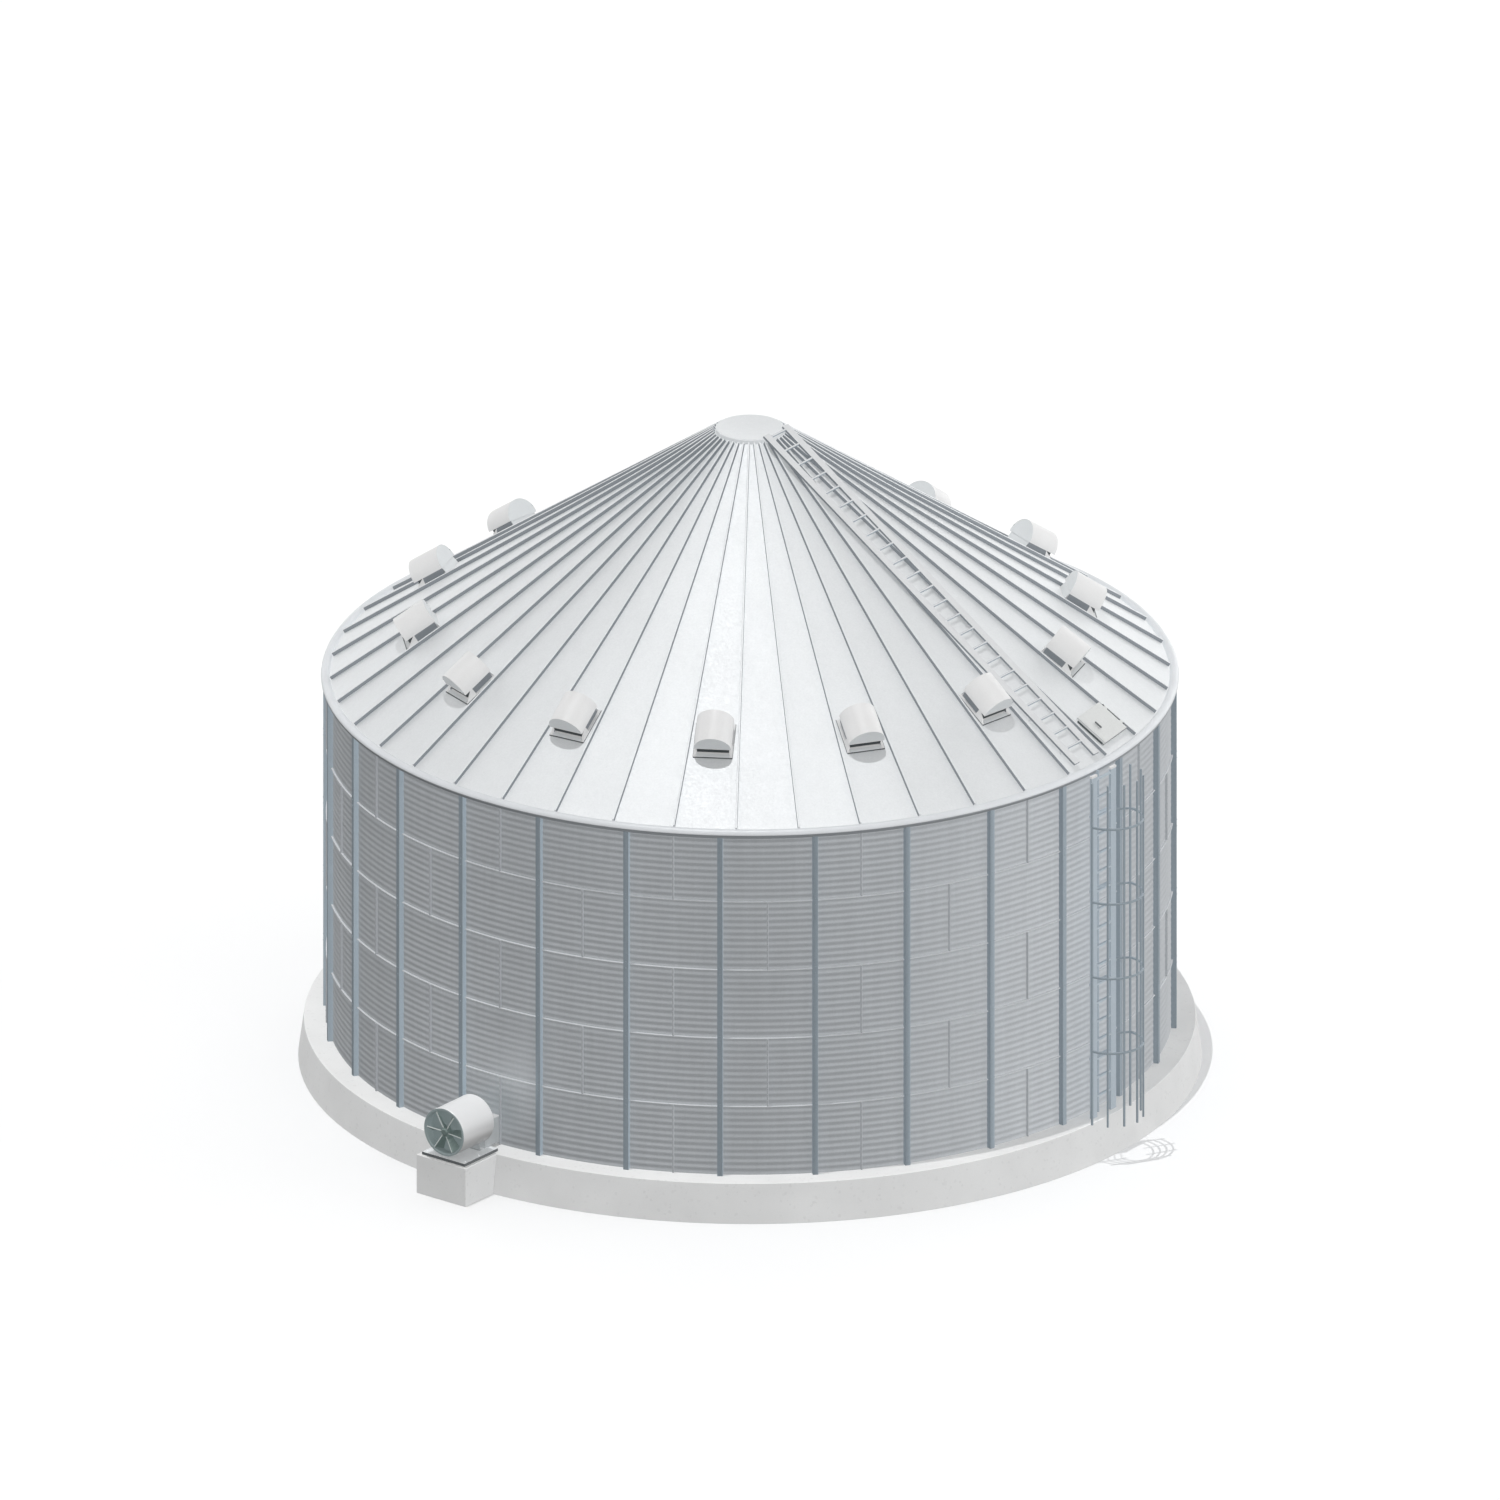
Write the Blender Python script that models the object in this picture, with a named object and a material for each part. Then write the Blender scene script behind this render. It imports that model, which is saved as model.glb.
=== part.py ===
# Grain silo: a corrugated steel bin on a concrete ring slab, with a ribbed
# cone roof, roof vents, ladders with a safety cage, a roof hatch and an
# aeration fan. Metres, +Z up; the slab's underside is z = 0.
from math import asin, atan2, cos, degrees, pi, radians, sin, sqrt, tan

import bmesh
import bpy
from mathutils import Matrix, Vector

GAP = 0.0003

# Driving dimensions of the bin. Angles are measured round the axis from the
# front (-Y), positive towards +X.
WALL_R = 6.41
WALL_T = 0.02
RING_H = 1.1176
RINGS = 5
FACETS = 84
FACET = 360.0 / FACETS
PHASE = -10.46
SEGMENTS = 7

SLAB_H = 0.6305
SLAB_R_TOP = 6.769
SLAB_R_BOTTOM = 6.857

POST_W = 0.082
POST_R = 6.49
POST_EVERY = 3

WALL_TOP = SLAB_H + RINGS * RING_H
WALL_STOP = WALL_TOP - 0.045
EAVE_R = 6.4375
EAVE_TUBE = 0.0725
EAVE_INNER = 6.386
EAVE_LIP = 0.045

ROOF_SLOPE = radians(34.1)
ROOF_R = EAVE_INNER - GAP
ROOF_T = 0.03
ROOF_HOLE_R = 0.46
PANEL = 2 * FACET
RIB_W = 0.026
RIB_H = 0.062
RIB_START_R = 0.53
RIB_STOP_R = 6.355
LAP = 0.005

CAP_R = 0.5235
CAP_TOP = 10.273

# Roof vents, one on every third roof panel
VENT_R = 5.008
VENT_FLANGE_L = 0.62
VENT_FLANGE_W = 0.60
VENT_FLANGE_T = 0.008
VENT_THROAT_W = 0.50
VENT_HOOD_R = 0.285
VENT_HOOD_BASE = 0.138
VENT_HOOD_BACK = -0.29
VENT_HOOD_FRONT = 0.25
VENT_SILL = 0.087
VENT_THROAT_BACK = -0.27
VENT_THROAT_FRONT = 0.28
VENT_SLOT_BACK = 0.16

# Ladders and cage. Behind the wall ladder a stay plate stands on the wall.
LADDER_T = PHASE + 15 * FACET
LADDER_R = 6.637
LADDER_GAUGE = 0.486
RAIL_W = 0.136
RAIL_D = 0.04
RUNG = 0.03
RUNG_PITCH = 0.305
LADDER_TOP = WALL_TOP + 0.01
TOP_RUNG = WALL_TOP - 0.07
STAY_R = 6.56
STAY_T = 0.02
STAY_NOTCH_R = 6.515
STAY_JOINTS = 4
STAY_BAR_H = 0.04
CAGE_R = 6.79
CAGE_RADIUS = 0.505
CAGE_BAR = 0.03
CAGE_BARS = 7
CAGE_BOTTOM = SLAB_H
CAGE_TOP = WALL_TOP
CAGE_ARM = 0.02
HOOP_H = 0.032
HOOPS = (1.836, 3.058, 4.280, 5.502)
ROOF_LADDER_LOW_R = 6.28
ROOF_LADDER_HIGH_R = 0.43
ROOF_LADDER_TOP_RUNG_R = 0.4825
ROOF_LADDER_FEET = (0.3, 1.0, 1.6)
ROOF_LADDER_FOOT_L = 0.04

# Roof hatch, in the frame of its roof panel: s down the slope, t round the
# roof, n off the sheet
HATCH_T = PHASE + 17 * FACET
HATCH_R = 5.98
CURB_T = 0.32
CURB_S = 0.26
CURB_WALL = 0.025
CURB_N = 0.075
LID_T = 0.35
LID_S = 0.29
LID_N = 0.080
LID_PLATE = 0.015
LID_LIP = 0.008
LID_LIP_N = 0.055
HINGE_T = 0.372
HINGE_N = 0.088
HINGE_ROD = 0.008
HINGE_BORE = 0.0086
HINGE_BARREL = 0.014
KNUCKLE_S = (-0.16, 0.16)
KNUCKLE_L = 0.06
BRACKET_S = (-0.22, 0.0, 0.22)
HINGE_BRACKET = 0.012

# Aeration fan, in its own frame: outward, sideways and up. The barrel and
# the box behind it stand a little to one side of the frame.
FAN_T = PHASE - 6.5 * FACET
FAN_SIDE = 0.03
FAN_Z = 1.1275
FAN_REAR = 6.78
FAN_FRONT = 7.535
FAN_R = 0.381
FAN_BORE = 0.345
FAN_RIM = 0.004
FAN_BACK_T = 0.012
FAN_SIDES = 32
PAD_OUT = 7.52
PAD_SIDES = (-0.5115, 0.438)
PLATE_T = 0.045
PLATE_IN = 6.649
PLATE_OUT = 7.470
PLATE_SIDES = (-0.442, 0.381)
DUCT_T = 0.012
DUCT_W = 0.40
DUCT_LOW = SLAB_H + PLATE_T + GAP
DUCT_HIGH = 1.10
PORT_W = 0.32
PORT_LOW = 0.89
PORT_HIGH = 1.07
HUB_R = 0.064
HUB_L = 0.10
HUB_AT = 7.515
HUB_NOSE = 0.012
BLADES = 6
BLADE_TIP = 0.33
BLADE_TWIST = radians(38)
BLADE_PHASE = radians(4.5)
SHAFT_R = 0.0195
SHAFT_L = 0.09
MOTOR_R = 0.13
MOTOR_L = 0.30
MOTOR_BORE = 0.02
STRUT_W = 0.05


def clear_scene():
    """Remove every object of the open scene."""
    for obj in list(bpy.data.objects):
        bpy.data.objects.remove(obj, do_unlink=True)


def material(name, color, roughness, metallic):
    """Return a Principled material of one plain finish."""
    mat = bpy.data.materials.new(name)
    mat.use_nodes = True
    shader = mat.node_tree.nodes["Principled BSDF"]
    shader.inputs["Base Color"].default_value = (*color, 1.0)
    shader.inputs["Roughness"].default_value = roughness
    shader.inputs["Metallic"].default_value = metallic
    mat.diffuse_color = (*color, 1.0)
    return mat


CONCRETE = ("concrete", (0.62, 0.62, 0.61), 0.9, 0.0)
GALVANISED = ("galvanised_steel", (0.36, 0.39, 0.41), 0.45, 0.6)
ROOF_STEEL = ("roof_steel", (0.72, 0.75, 0.77), 0.4, 0.5)
PAINTED = ("white_painted_steel", (0.80, 0.80, 0.79), 0.5, 0.0)
LADDER_STEEL = ("ladder_steel", (0.58, 0.66, 0.74), 0.5, 0.3)
DARK_STEEL = ("dark_steel", (0.10, 0.11, 0.12), 0.5, 0.4)


def radial(angle):
    """Return the horizontal unit vector outward at an angle from the front."""
    a = radians(angle)
    return Vector((sin(a), -cos(a), 0.0))


def sideways(angle):
    """Return the horizontal unit vector in the sense of rising angle."""
    a = radians(angle)
    return Vector((cos(a), sin(a), 0.0))


def polar(angle, radius, z=0.0):
    """Return the point at an angle, a radius and a height."""
    point = radial(angle) * radius
    point.z = z
    return point


def roof_z(radius):
    """Return the height of the ribs' foot line on the sheets at a radius."""
    return WALL_TOP + (6.404 - radius) * tan(ROOF_SLOPE)


def make_object(name, bm, finish, matrix=None):
    """Link a finished mesh as one named node."""
    bmesh.ops.recalc_face_normals(bm, faces=bm.faces)
    mesh = bpy.data.meshes.new(name)
    bm.to_mesh(mesh)
    bm.free()
    obj = bpy.data.objects.new(name, mesh)
    bpy.context.scene.collection.objects.link(obj)
    mesh.materials.append(material(name + "_" + finish[0], *finish[1:]))
    if matrix is not None:
        obj.matrix_world = matrix
    return obj


def make_tool(name, bm, matrix=None):
    """Link a hidden helper that a Boolean modifier reads."""
    bmesh.ops.recalc_face_normals(bm, faces=bm.faces)
    mesh = bpy.data.meshes.new(name)
    bm.to_mesh(mesh)
    bm.free()
    obj = bpy.data.objects.new(name, mesh)
    bpy.context.scene.collection.objects.link(obj)
    obj.hide_render = True
    obj.display_type = "WIRE"
    if matrix is not None:
        obj.matrix_world = matrix
    return obj


def boolean(obj, tool, operation):
    """Join or cut an object with a helper."""
    mod = obj.modifiers.new(operation.title() + " " + tool.name, "BOOLEAN")
    mod.operation = operation
    mod.solver = "EXACT"
    mod.object = tool


def smooth_round(obj, angle=radians(30)):
    """Shade the round faces smooth and keep the sharp edges."""
    obj.data.shade_smooth()
    obj.data.set_sharp_from_angle(angle=angle)


def add_box(bm, low, high):
    """Add a box between two corners."""
    corners = [bm.verts.new((x, y, z)) for z in (low[2], high[2])
               for x, y in ((low[0], low[1]), (high[0], low[1]),
                            (high[0], high[1]), (low[0], high[1]))]
    for face in ((0, 1, 2, 3), (4, 5, 6, 7), (0, 1, 5, 4),
                 (1, 2, 6, 5), (2, 3, 7, 6), (3, 0, 4, 7)):
        bm.faces.new([corners[i] for i in face])


def add_loft(bm, rings, caps=True):
    """Add a skin through closed rings of points."""
    loops = [[bm.verts.new(p) for p in ring] for ring in rings]
    count = len(loops[0])
    for a, b in zip(loops, loops[1:]):
        for i in range(count):
            j = (i + 1) % count
            bm.faces.new((a[i], a[j], b[j], b[i]))
    if caps:
        bm.faces.new(loops[0])
        bm.faces.new(loops[-1])
    return loops


def polygon_reach(frame_angle, side, radius, facet=FACET, phase=PHASE):
    """Return how far outward a faceted ring's face lies beside a line."""
    out, across = radial(frame_angle), sideways(frame_angle)
    flat = radius * cos(radians(facet / 2))
    reach = []
    nearest = round((frame_angle - phase) / facet - 0.5)
    for step in range(-3, 4):
        normal = radial(phase + (nearest + step + 0.5) * facet)
        reach.append((flat - side * across.dot(normal)) / out.dot(normal))
    return min(reach)


def panel_top(point, centre_angle):
    """Return the height of a flat roof panel's upper face above a point."""
    along = point.x * radial(centre_angle).x + point.y * radial(centre_angle).y
    foot = along / cos(radians(PANEL / 2))
    return WALL_TOP + (6.404 - foot) * tan(ROOF_SLOPE)


def panel_matrix(centre_angle, radius):
    """Return the frame of a roof panel: X down the slope, Y round, Z off it."""
    origin = polar(centre_angle, radius)
    origin.z = panel_top(origin, centre_angle)
    tilt = atan2(tan(ROOF_SLOPE), cos(radians(PANEL / 2)))
    out, across = radial(centre_angle), sideways(centre_angle)
    down = out * cos(tilt) - Vector((0, 0, 1)) * sin(tilt)
    normal = out * sin(tilt) + Vector((0, 0, 1)) * cos(tilt)
    matrix = Matrix((down, across, normal)).transposed().to_4x4()
    matrix.translation = origin
    return matrix


def upright_matrix(angle, outward=0.0, side=0.0, z=0.0):
    """Return the frame at an angle round the bin: X outward, Y across, Z up."""
    matrix = Matrix((radial(angle), sideways(angle),
                     Vector((0, 0, 1)))).transposed().to_4x4()
    matrix.translation = polar(angle, outward, z) + sideways(angle) * side
    return matrix


def build_slab():
    """Solid concrete ring base with a slightly battered side."""
    bm = bmesh.new()
    rings = []
    for radius, z in ((SLAB_R_BOTTOM, 0.0), (SLAB_R_TOP, SLAB_H)):
        rings.append([polar(PHASE + i * FACET, radius, z) for i in range(FACETS)])
    add_loft(bm, rings)
    smooth_round(make_object("foundation_slab", bm, CONCRETE))


def build_wall(segment):
    """One seventh of the wall with the posts bolted to it."""
    start = PHASE + segment * 360.0 / SEGMENTS
    count = FACETS // SEGMENTS
    shrink = degrees(GAP / 2 / WALL_R)
    outer, inner, posts = [], [], []
    for i in range(count):
        a = start + i * FACET + (shrink if i == 0 else 0)
        outer.append(polar(a, WALL_R))
        inner.append(polar(a, WALL_R - WALL_T))
        if i % POST_EVERY == 1:
            middle = start + (i + 0.5) * FACET
            out, across = radial(middle), sideways(middle)
            flat = cos(radians(FACET / 2))
            for sign in (-1, 1):
                side = across * (sign * POST_W / 2)
                outer.append(out * (WALL_R * flat) + side)
                inner.append(out * ((WALL_R - WALL_T) * flat) + side)
                posts.append((len(outer) - 1, out * POST_R + side))
    a = start + count * FACET - shrink
    outer.append(polar(a, WALL_R))
    inner.append(polar(a, WALL_R - WALL_T))

    bm = bmesh.new()
    low, high = SLAB_H + GAP, WALL_STOP
    layers = []
    for z in (low, high):
        lift = Vector((0, 0, z))
        layers.append(([bm.verts.new(p + lift) for p in outer],
                       [bm.verts.new(p + lift) for p in inner],
                       [bm.verts.new(p + lift) for _, p in posts]))
    (o0, i0, p0), (o1, i1, p1) = layers
    fronts = {posts[k][0]: k for k in range(0, len(posts), 2)}
    for k in range(len(outer) - 1):
        bm.faces.new((i0[k], i0[k + 1], i1[k + 1], i1[k]))
        for o, i in ((o0, i0), (o1, i1)):
            bm.faces.new((i[k], i[k + 1], o[k + 1], o[k]))
        if k in fronts:
            q = fronts[k]
            bm.faces.new((o0[k], p0[q], p1[q], o1[k]))
            bm.faces.new((p0[q], p0[q + 1], p1[q + 1], p1[q]))
            bm.faces.new((p0[q + 1], o0[k + 1], o1[k + 1], p1[q + 1]))
            for o, p in ((o0, p0), (o1, p1)):
                bm.faces.new((o[k], o[k + 1], p[q + 1], p[q]))
        else:
            bm.faces.new((o0[k], o0[k + 1], o1[k + 1], o1[k]))
    for k in (0, len(outer) - 1):
        bm.faces.new((o0[k], i0[k], i1[k], o1[k]))
    obj = make_object(f"wall_segment_{segment + 1}", bm, GALVANISED)
    if abs((FAN_T - start) % 360.0) < 360.0 / SEGMENTS:
        boolean(obj, build_duct_opening(), "DIFFERENCE")
    smooth_round(obj)


def build_duct_opening():
    """The hole in the wall that the fan's duct blows through."""
    bm = bmesh.new()
    half = DUCT_W / 2 - DUCT_T
    add_box(bm, (WALL_R - 0.3, -half, DUCT_LOW + DUCT_T),
            (WALL_R + 0.2, half, DUCT_HIGH - DUCT_T))
    return make_tool("duct_opening", bm, upright_matrix(FAN_T, side=FAN_SIDE))


def build_eave(segment):
    """One seventh of the rolled eave ring on top of the wall."""
    start = PHASE + segment * 360.0 / SEGMENTS
    count = FACETS // SEGMENTS
    shrink = degrees(GAP / 2 / EAVE_R)
    low = WALL_STOP + GAP
    half = sqrt(EAVE_TUBE ** 2 - (WALL_TOP - low) ** 2)
    section = [(EAVE_INNER, low), (EAVE_R + half, low)]
    first = atan2(low - WALL_TOP, half)
    last = pi - asin(EAVE_LIP / EAVE_TUBE)
    steps = 9
    for k in range(1, steps):
        a = first + (last - first) * k / steps
        section.append((EAVE_R + EAVE_TUBE * cos(a), WALL_TOP + EAVE_TUBE * sin(a)))
    section.append((EAVE_INNER, WALL_TOP + EAVE_LIP))
    bm = bmesh.new()
    rings = []
    for i in range(count + 1):
        a = start + i * FACET
        a += shrink if i == 0 else (-shrink if i == count else 0)
        rings.append([polar(a, r, z) for r, z in section])
    add_loft(bm, rings)
    smooth_round(make_object(f"eave_ring_{segment + 1}", bm, PAINTED), radians(35))


class RoofSheet:
    """Builds one seventh of the roof: flat panels with standing ribs."""

    def __init__(self, segment):
        self.first = PHASE + segment * 360.0 / SEGMENTS
        self.panels = FACETS // SEGMENTS // 2
        self.bm = bmesh.new()
        self.drop = Vector((0, 0, ROOF_T / cos(ROOF_SLOPE)))
        self.cache = {}

    def vert(self, point):
        """Return the vertex at a point, making it once."""
        key = tuple(round(c, 5) for c in point)
        if key not in self.cache:
            self.cache[key] = self.bm.verts.new(point)
        return self.cache[key]

    def face(self, points):
        """Add a face through points."""
        self.bm.faces.new([self.vert(p) for p in points])

    def on_panel(self, line_angle, panel_angle, radius, side):
        """Return the panel's upper face at a place beside a rib's line."""
        point = radial(line_angle) * radius + sideways(line_angle) * side
        point.z = panel_top(point, panel_angle)
        return point

    def outer_radius(self, line_angle, side):
        """Return where the sheet's lower edge lies beside a rib's line."""
        return polygon_reach(line_angle, side, ROOF_R)

    def panel(self, index, left_rib, width=None):
        """Add a panel, or the narrow lap beside the last rib."""
        left = self.first + index * PANEL
        middle = left + PANEL / 2
        half = RIB_W / 2
        top, bottom = [], []

        def edge(line, side, outward):
            radii = (ROOF_HOLE_R, self.outer_radius(line, side))
            points = [self.on_panel(line, middle, r, side) for r in radii]
            return points if outward else points[::-1]

        def rib_edge(line, sign, outward):
            inner, outer = edge(line, 0.0, True)
            slot = [self.on_panel(line, middle, r, s)
                    for r, s in ((RIB_START_R, 0.0), (RIB_START_R, sign * half),
                                 (RIB_STOP_R, sign * half), (RIB_STOP_R, 0.0))]
            points = [inner] + slot + [outer]
            return points if outward else points[::-1]

        if left_rib:
            top += rib_edge(left, 1, True)
        else:
            top += edge(left, half + LAP + GAP, True)
        if width is None:
            crest = polar(middle, ROOF_R)
            crest.z = panel_top(crest, middle)
            top.append(crest)
            top += rib_edge(left + PANEL, -1, False)
        else:
            top += edge(left, width, False)
        self.face(top)
        ends = []
        if left_rib:
            ends += edge(left, 0.0, True)
        else:
            ends += edge(left, half + LAP + GAP, True)
        if width is None:
            ends.append(crest)
            ends += edge(left + PANEL, 0.0, False)
        else:
            ends += edge(left, width, False)
        bottom = [p - self.drop for p in ends]
        self.face(bottom)
        outer_run = ends[1:-1]
        for a, b in zip(outer_run, outer_run[1:]):
            self.face((a, b, b - self.drop, a - self.drop))
        inner_a, inner_b = ends[0], ends[-1]
        self.face((inner_a, inner_b, inner_b - self.drop, inner_a - self.drop))
        if not left_rib:
            self.face((ends[0], ends[1], ends[1] - self.drop, ends[0] - self.drop))
        if width is not None:
            self.face((ends[-1], ends[-2], ends[-2] - self.drop,
                       ends[-1] - self.drop))

    def rib(self, index):
        """Add the standing rib between two panels."""
        line = self.first + index * PANEL
        half = RIB_W / 2
        before, after = line - PANEL / 2, line + PANEL / 2
        tilt_out = radial(line) * sin(ROOF_SLOPE)
        lift = (tilt_out + Vector((0, 0, cos(ROOF_SLOPE)))) * RIB_H
        ends = []
        for radius in (RIB_START_R, RIB_STOP_R):
            left = self.on_panel(line, before, radius, -half)
            middle = self.on_panel(line, after, radius, 0.0)
            right = self.on_panel(line, after, radius, half)
            ends.append((left, middle, right, left + lift, right + lift))
        (l0, m0, r0, lt0, rt0), (l1, m1, r1, lt1, rt1) = ends
        self.face((l0, l1, lt1, lt0))
        self.face((r0, r1, rt1, rt0))
        self.face((lt0, lt1, rt1, rt0))
        self.face((l0, m0, r0, rt0, lt0))
        self.face((l1, m1, r1, rt1, lt1))

    def build(self):
        """Return the whole sector's mesh."""
        for k in range(self.panels):
            self.panel(k, left_rib=k > 0)
        self.panel(self.panels, left_rib=True, width=RIB_W / 2 + LAP)
        for k in range(1, self.panels + 1):
            self.rib(k)
        return self.bm


def build_roof(segment):
    """One seventh of the roof, with the hatch hole in the one that has it."""
    sheet = RoofSheet(segment)
    obj = make_object(f"roof_sector_{segment + 1}", sheet.build(), ROOF_STEEL)
    if 0 < (HATCH_T - sheet.first) % 360.0 < 360.0 / SEGMENTS:
        bm = bmesh.new()
        t, s = CURB_T - CURB_WALL, CURB_S - CURB_WALL
        add_box(bm, (-s, -t, -0.2), (s, t, 0.2))
        tool = make_tool("hatch_hole", bm, panel_matrix(HATCH_T, HATCH_R))
        boolean(obj, tool, "DIFFERENCE")


def build_cap():
    """The flat cap over the hole at the roof's peak."""
    bm = bmesh.new()
    count = FACETS // 2
    angles = [PHASE + i * PANEL for i in range(count)]
    foot = roof_z(CAP_R) + GAP / cos(ROOF_SLOPE)
    lip = roof_z(ROOF_HOLE_R) + GAP / cos(ROOF_SLOPE)
    rings = [[polar(a, ROOF_HOLE_R - 0.02, lip) for a in angles],
             [polar(a, ROOF_HOLE_R, lip) for a in angles],
             [polar(a, CAP_R, foot) for a in angles],
             [polar(a, CAP_R, CAP_TOP - 0.008) for a in angles],
             [polar(a, CAP_R - 0.008, CAP_TOP) for a in angles]]
    add_loft(bm, rings)
    smooth_round(make_object("roof_cap", bm, ROOF_STEEL))


def build_vent(number, angle):
    """A hooded roof vent on its flange, with an open slot down the slope."""
    bm = bmesh.new()
    low = GAP
    half = VENT_THROAT_W / 2
    outline = [(VENT_THROAT_BACK, low + VENT_FLANGE_T),
               (VENT_THROAT_FRONT, low + VENT_FLANGE_T),
               (VENT_THROAT_FRONT, VENT_SILL), (VENT_SLOT_BACK, VENT_SILL),
               (VENT_SLOT_BACK, VENT_HOOD_BASE),
               (VENT_THROAT_BACK, VENT_HOOD_BASE)]
    ends = [[bm.verts.new((s, side, n)) for s, n in outline]
            for side in (-half, half)]
    for ring in ends:
        bm.faces.new(ring)
    for k in range(1, 4):
        bm.faces.new((ends[0][k], ends[0][k + 1], ends[1][k + 1], ends[1][k]))
    bm.faces.new((ends[0][5], ends[0][0], ends[1][0], ends[1][5]))

    flange_s, flange_t = VENT_FLANGE_L / 2, VENT_FLANGE_W / 2
    corners = ((-1, -1), (1, -1), (1, 1), (-1, 1))
    top = [bm.verts.new((u * flange_s, v * flange_t, low + VENT_FLANGE_T))
           for u, v in corners]
    base = [bm.verts.new((u * flange_s, v * flange_t, low)) for u, v in corners]
    foot = [ends[0][0], ends[0][1], ends[1][1], ends[1][0]]
    bm.faces.new(base)
    for k in range(4):
        m = (k + 1) % 4
        bm.faces.new((base[k], base[m], top[m], top[k]))
        bm.faces.new((top[k], top[m], foot[m], foot[k]))

    neck = [ends[0][5], ends[0][4], ends[1][4], ends[1][5]]
    steps = 12
    arcs = []
    for s in (VENT_HOOD_BACK, VENT_HOOD_FRONT):
        arcs.append([bm.verts.new((s, -VENT_HOOD_R * cos(pi * k / steps),
                                   VENT_HOOD_BASE + VENT_HOOD_R * sin(pi * k / steps)))
                     for k in range(steps + 1)])
    back, front = arcs
    for k in range(steps):
        bm.faces.new((back[k], back[k + 1], front[k + 1], front[k]))
    bm.faces.new(back)
    bm.faces.new(front)
    rim = [back[0], front[0], front[-1], back[-1]]
    for k in range(4):
        m = (k + 1) % 4
        bm.faces.new((rim[k], rim[m], neck[m], neck[k]))
    obj = make_object(f"roof_vent_{number:02d}", bm, PAINTED,
                      panel_matrix(angle, VENT_R))
    smooth_round(obj)


def add_lattice(bm, columns, levels, links):
    """Add upright bars cut at levels and joined to their neighbours.

    Each column gives its four plan corners; its second side faces the next
    column and its last side the one before. links holds the level spans that
    join neighbours, as indices of levels. Returns the columns' vertices.
    """
    stacks = []
    for corners in columns:
        stacks.append([[bm.verts.new((x, y, z)) for x, y in corners]
                       for z in levels])
    last = len(columns) - 1
    for c, stack in enumerate(stacks):
        bm.faces.new(stack[0])
        bm.faces.new(stack[-1])
        for n in range(len(levels) - 1):
            a, b = stack[n], stack[n + 1]
            for k in range(4):
                joined = n in links and ((k == 1 and c < last)
                                         or (k == 3 and c > 0))
                if not joined:
                    m = (k + 1) % 4
                    bm.faces.new((a[k], a[m], b[m], b[k]))
    for left, right in zip(stacks, stacks[1:]):
        for n in links:
            a, b = left[n], left[n + 1]
            c, d = right[n], right[n + 1]
            one = (a[1], a[2], b[2], b[1])
            two = (c[0], c[3], d[3], d[0])
            for k in range(4):
                m = (k + 1) % 4
                bm.faces.new((one[k], one[m], two[m], two[k]))
    return stacks


def ladder_columns(gauge, width, depth):
    """Return the two rails' plan corners, in a frame of (outward, across)."""
    columns = []
    for side in (-gauge / 2, gauge / 2):
        w, d = width / 2, depth / 2
        columns.append(((-d, side - w), (-d, side + w), (d, side + w), (d, side - w)))
    return columns


def build_wall_ladder():
    """The ladder up the wall, carried by a stay plate that stands on the wall."""
    rungs = []
    z = TOP_RUNG
    while z > SLAB_H + RUNG_PITCH / 2:
        rungs.insert(0, z)
        z -= RUNG_PITCH
    levels, links = [SLAB_H + GAP], []
    for z in rungs:
        links.append(len(levels))
        levels += [z - RUNG / 2, z + RUNG / 2]
    levels.append(LADDER_TOP)
    bm = bmesh.new()
    add_lattice(bm, ladder_columns(LADDER_GAUGE, RAIL_W, RAIL_D), levels, links)
    ladder = make_object("wall_ladder", bm, LADDER_STEEL,
                         upright_matrix(LADDER_T, LADDER_R))

    frame = upright_matrix(LADDER_T)
    under_eave = WALL_STOP - 10 * GAP
    outline = ((WALL_R + GAP, SLAB_H + GAP), (STAY_R, SLAB_H + GAP),
               (STAY_R, WALL_TOP), (STAY_NOTCH_R, WALL_TOP),
               (STAY_NOTCH_R, under_eave), (WALL_R + GAP, under_eave))
    bm = bmesh.new()
    add_loft(bm, [[(x, y, z) for x, z in outline] for y in (-STAY_T / 2, STAY_T / 2)])
    stay = make_tool("ladder_stay", bm, frame)
    step = (len(rungs) - 1) / STAY_JOINTS
    rail_back = LADDER_R - RAIL_D / 2
    for number in range(STAY_JOINTS):
        z = rungs[round((number + 0.5) * step)]
        bm = bmesh.new()
        add_box(bm, (STAY_R - 0.005, -LADDER_GAUGE / 2, z - STAY_BAR_H / 2),
                (rail_back + 0.005, LADDER_GAUGE / 2, z + STAY_BAR_H / 2))
        boolean(ladder, make_tool(f"stay_bar_{number + 1}", bm, frame), "UNION")
    boolean(ladder, stay, "UNION")


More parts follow.
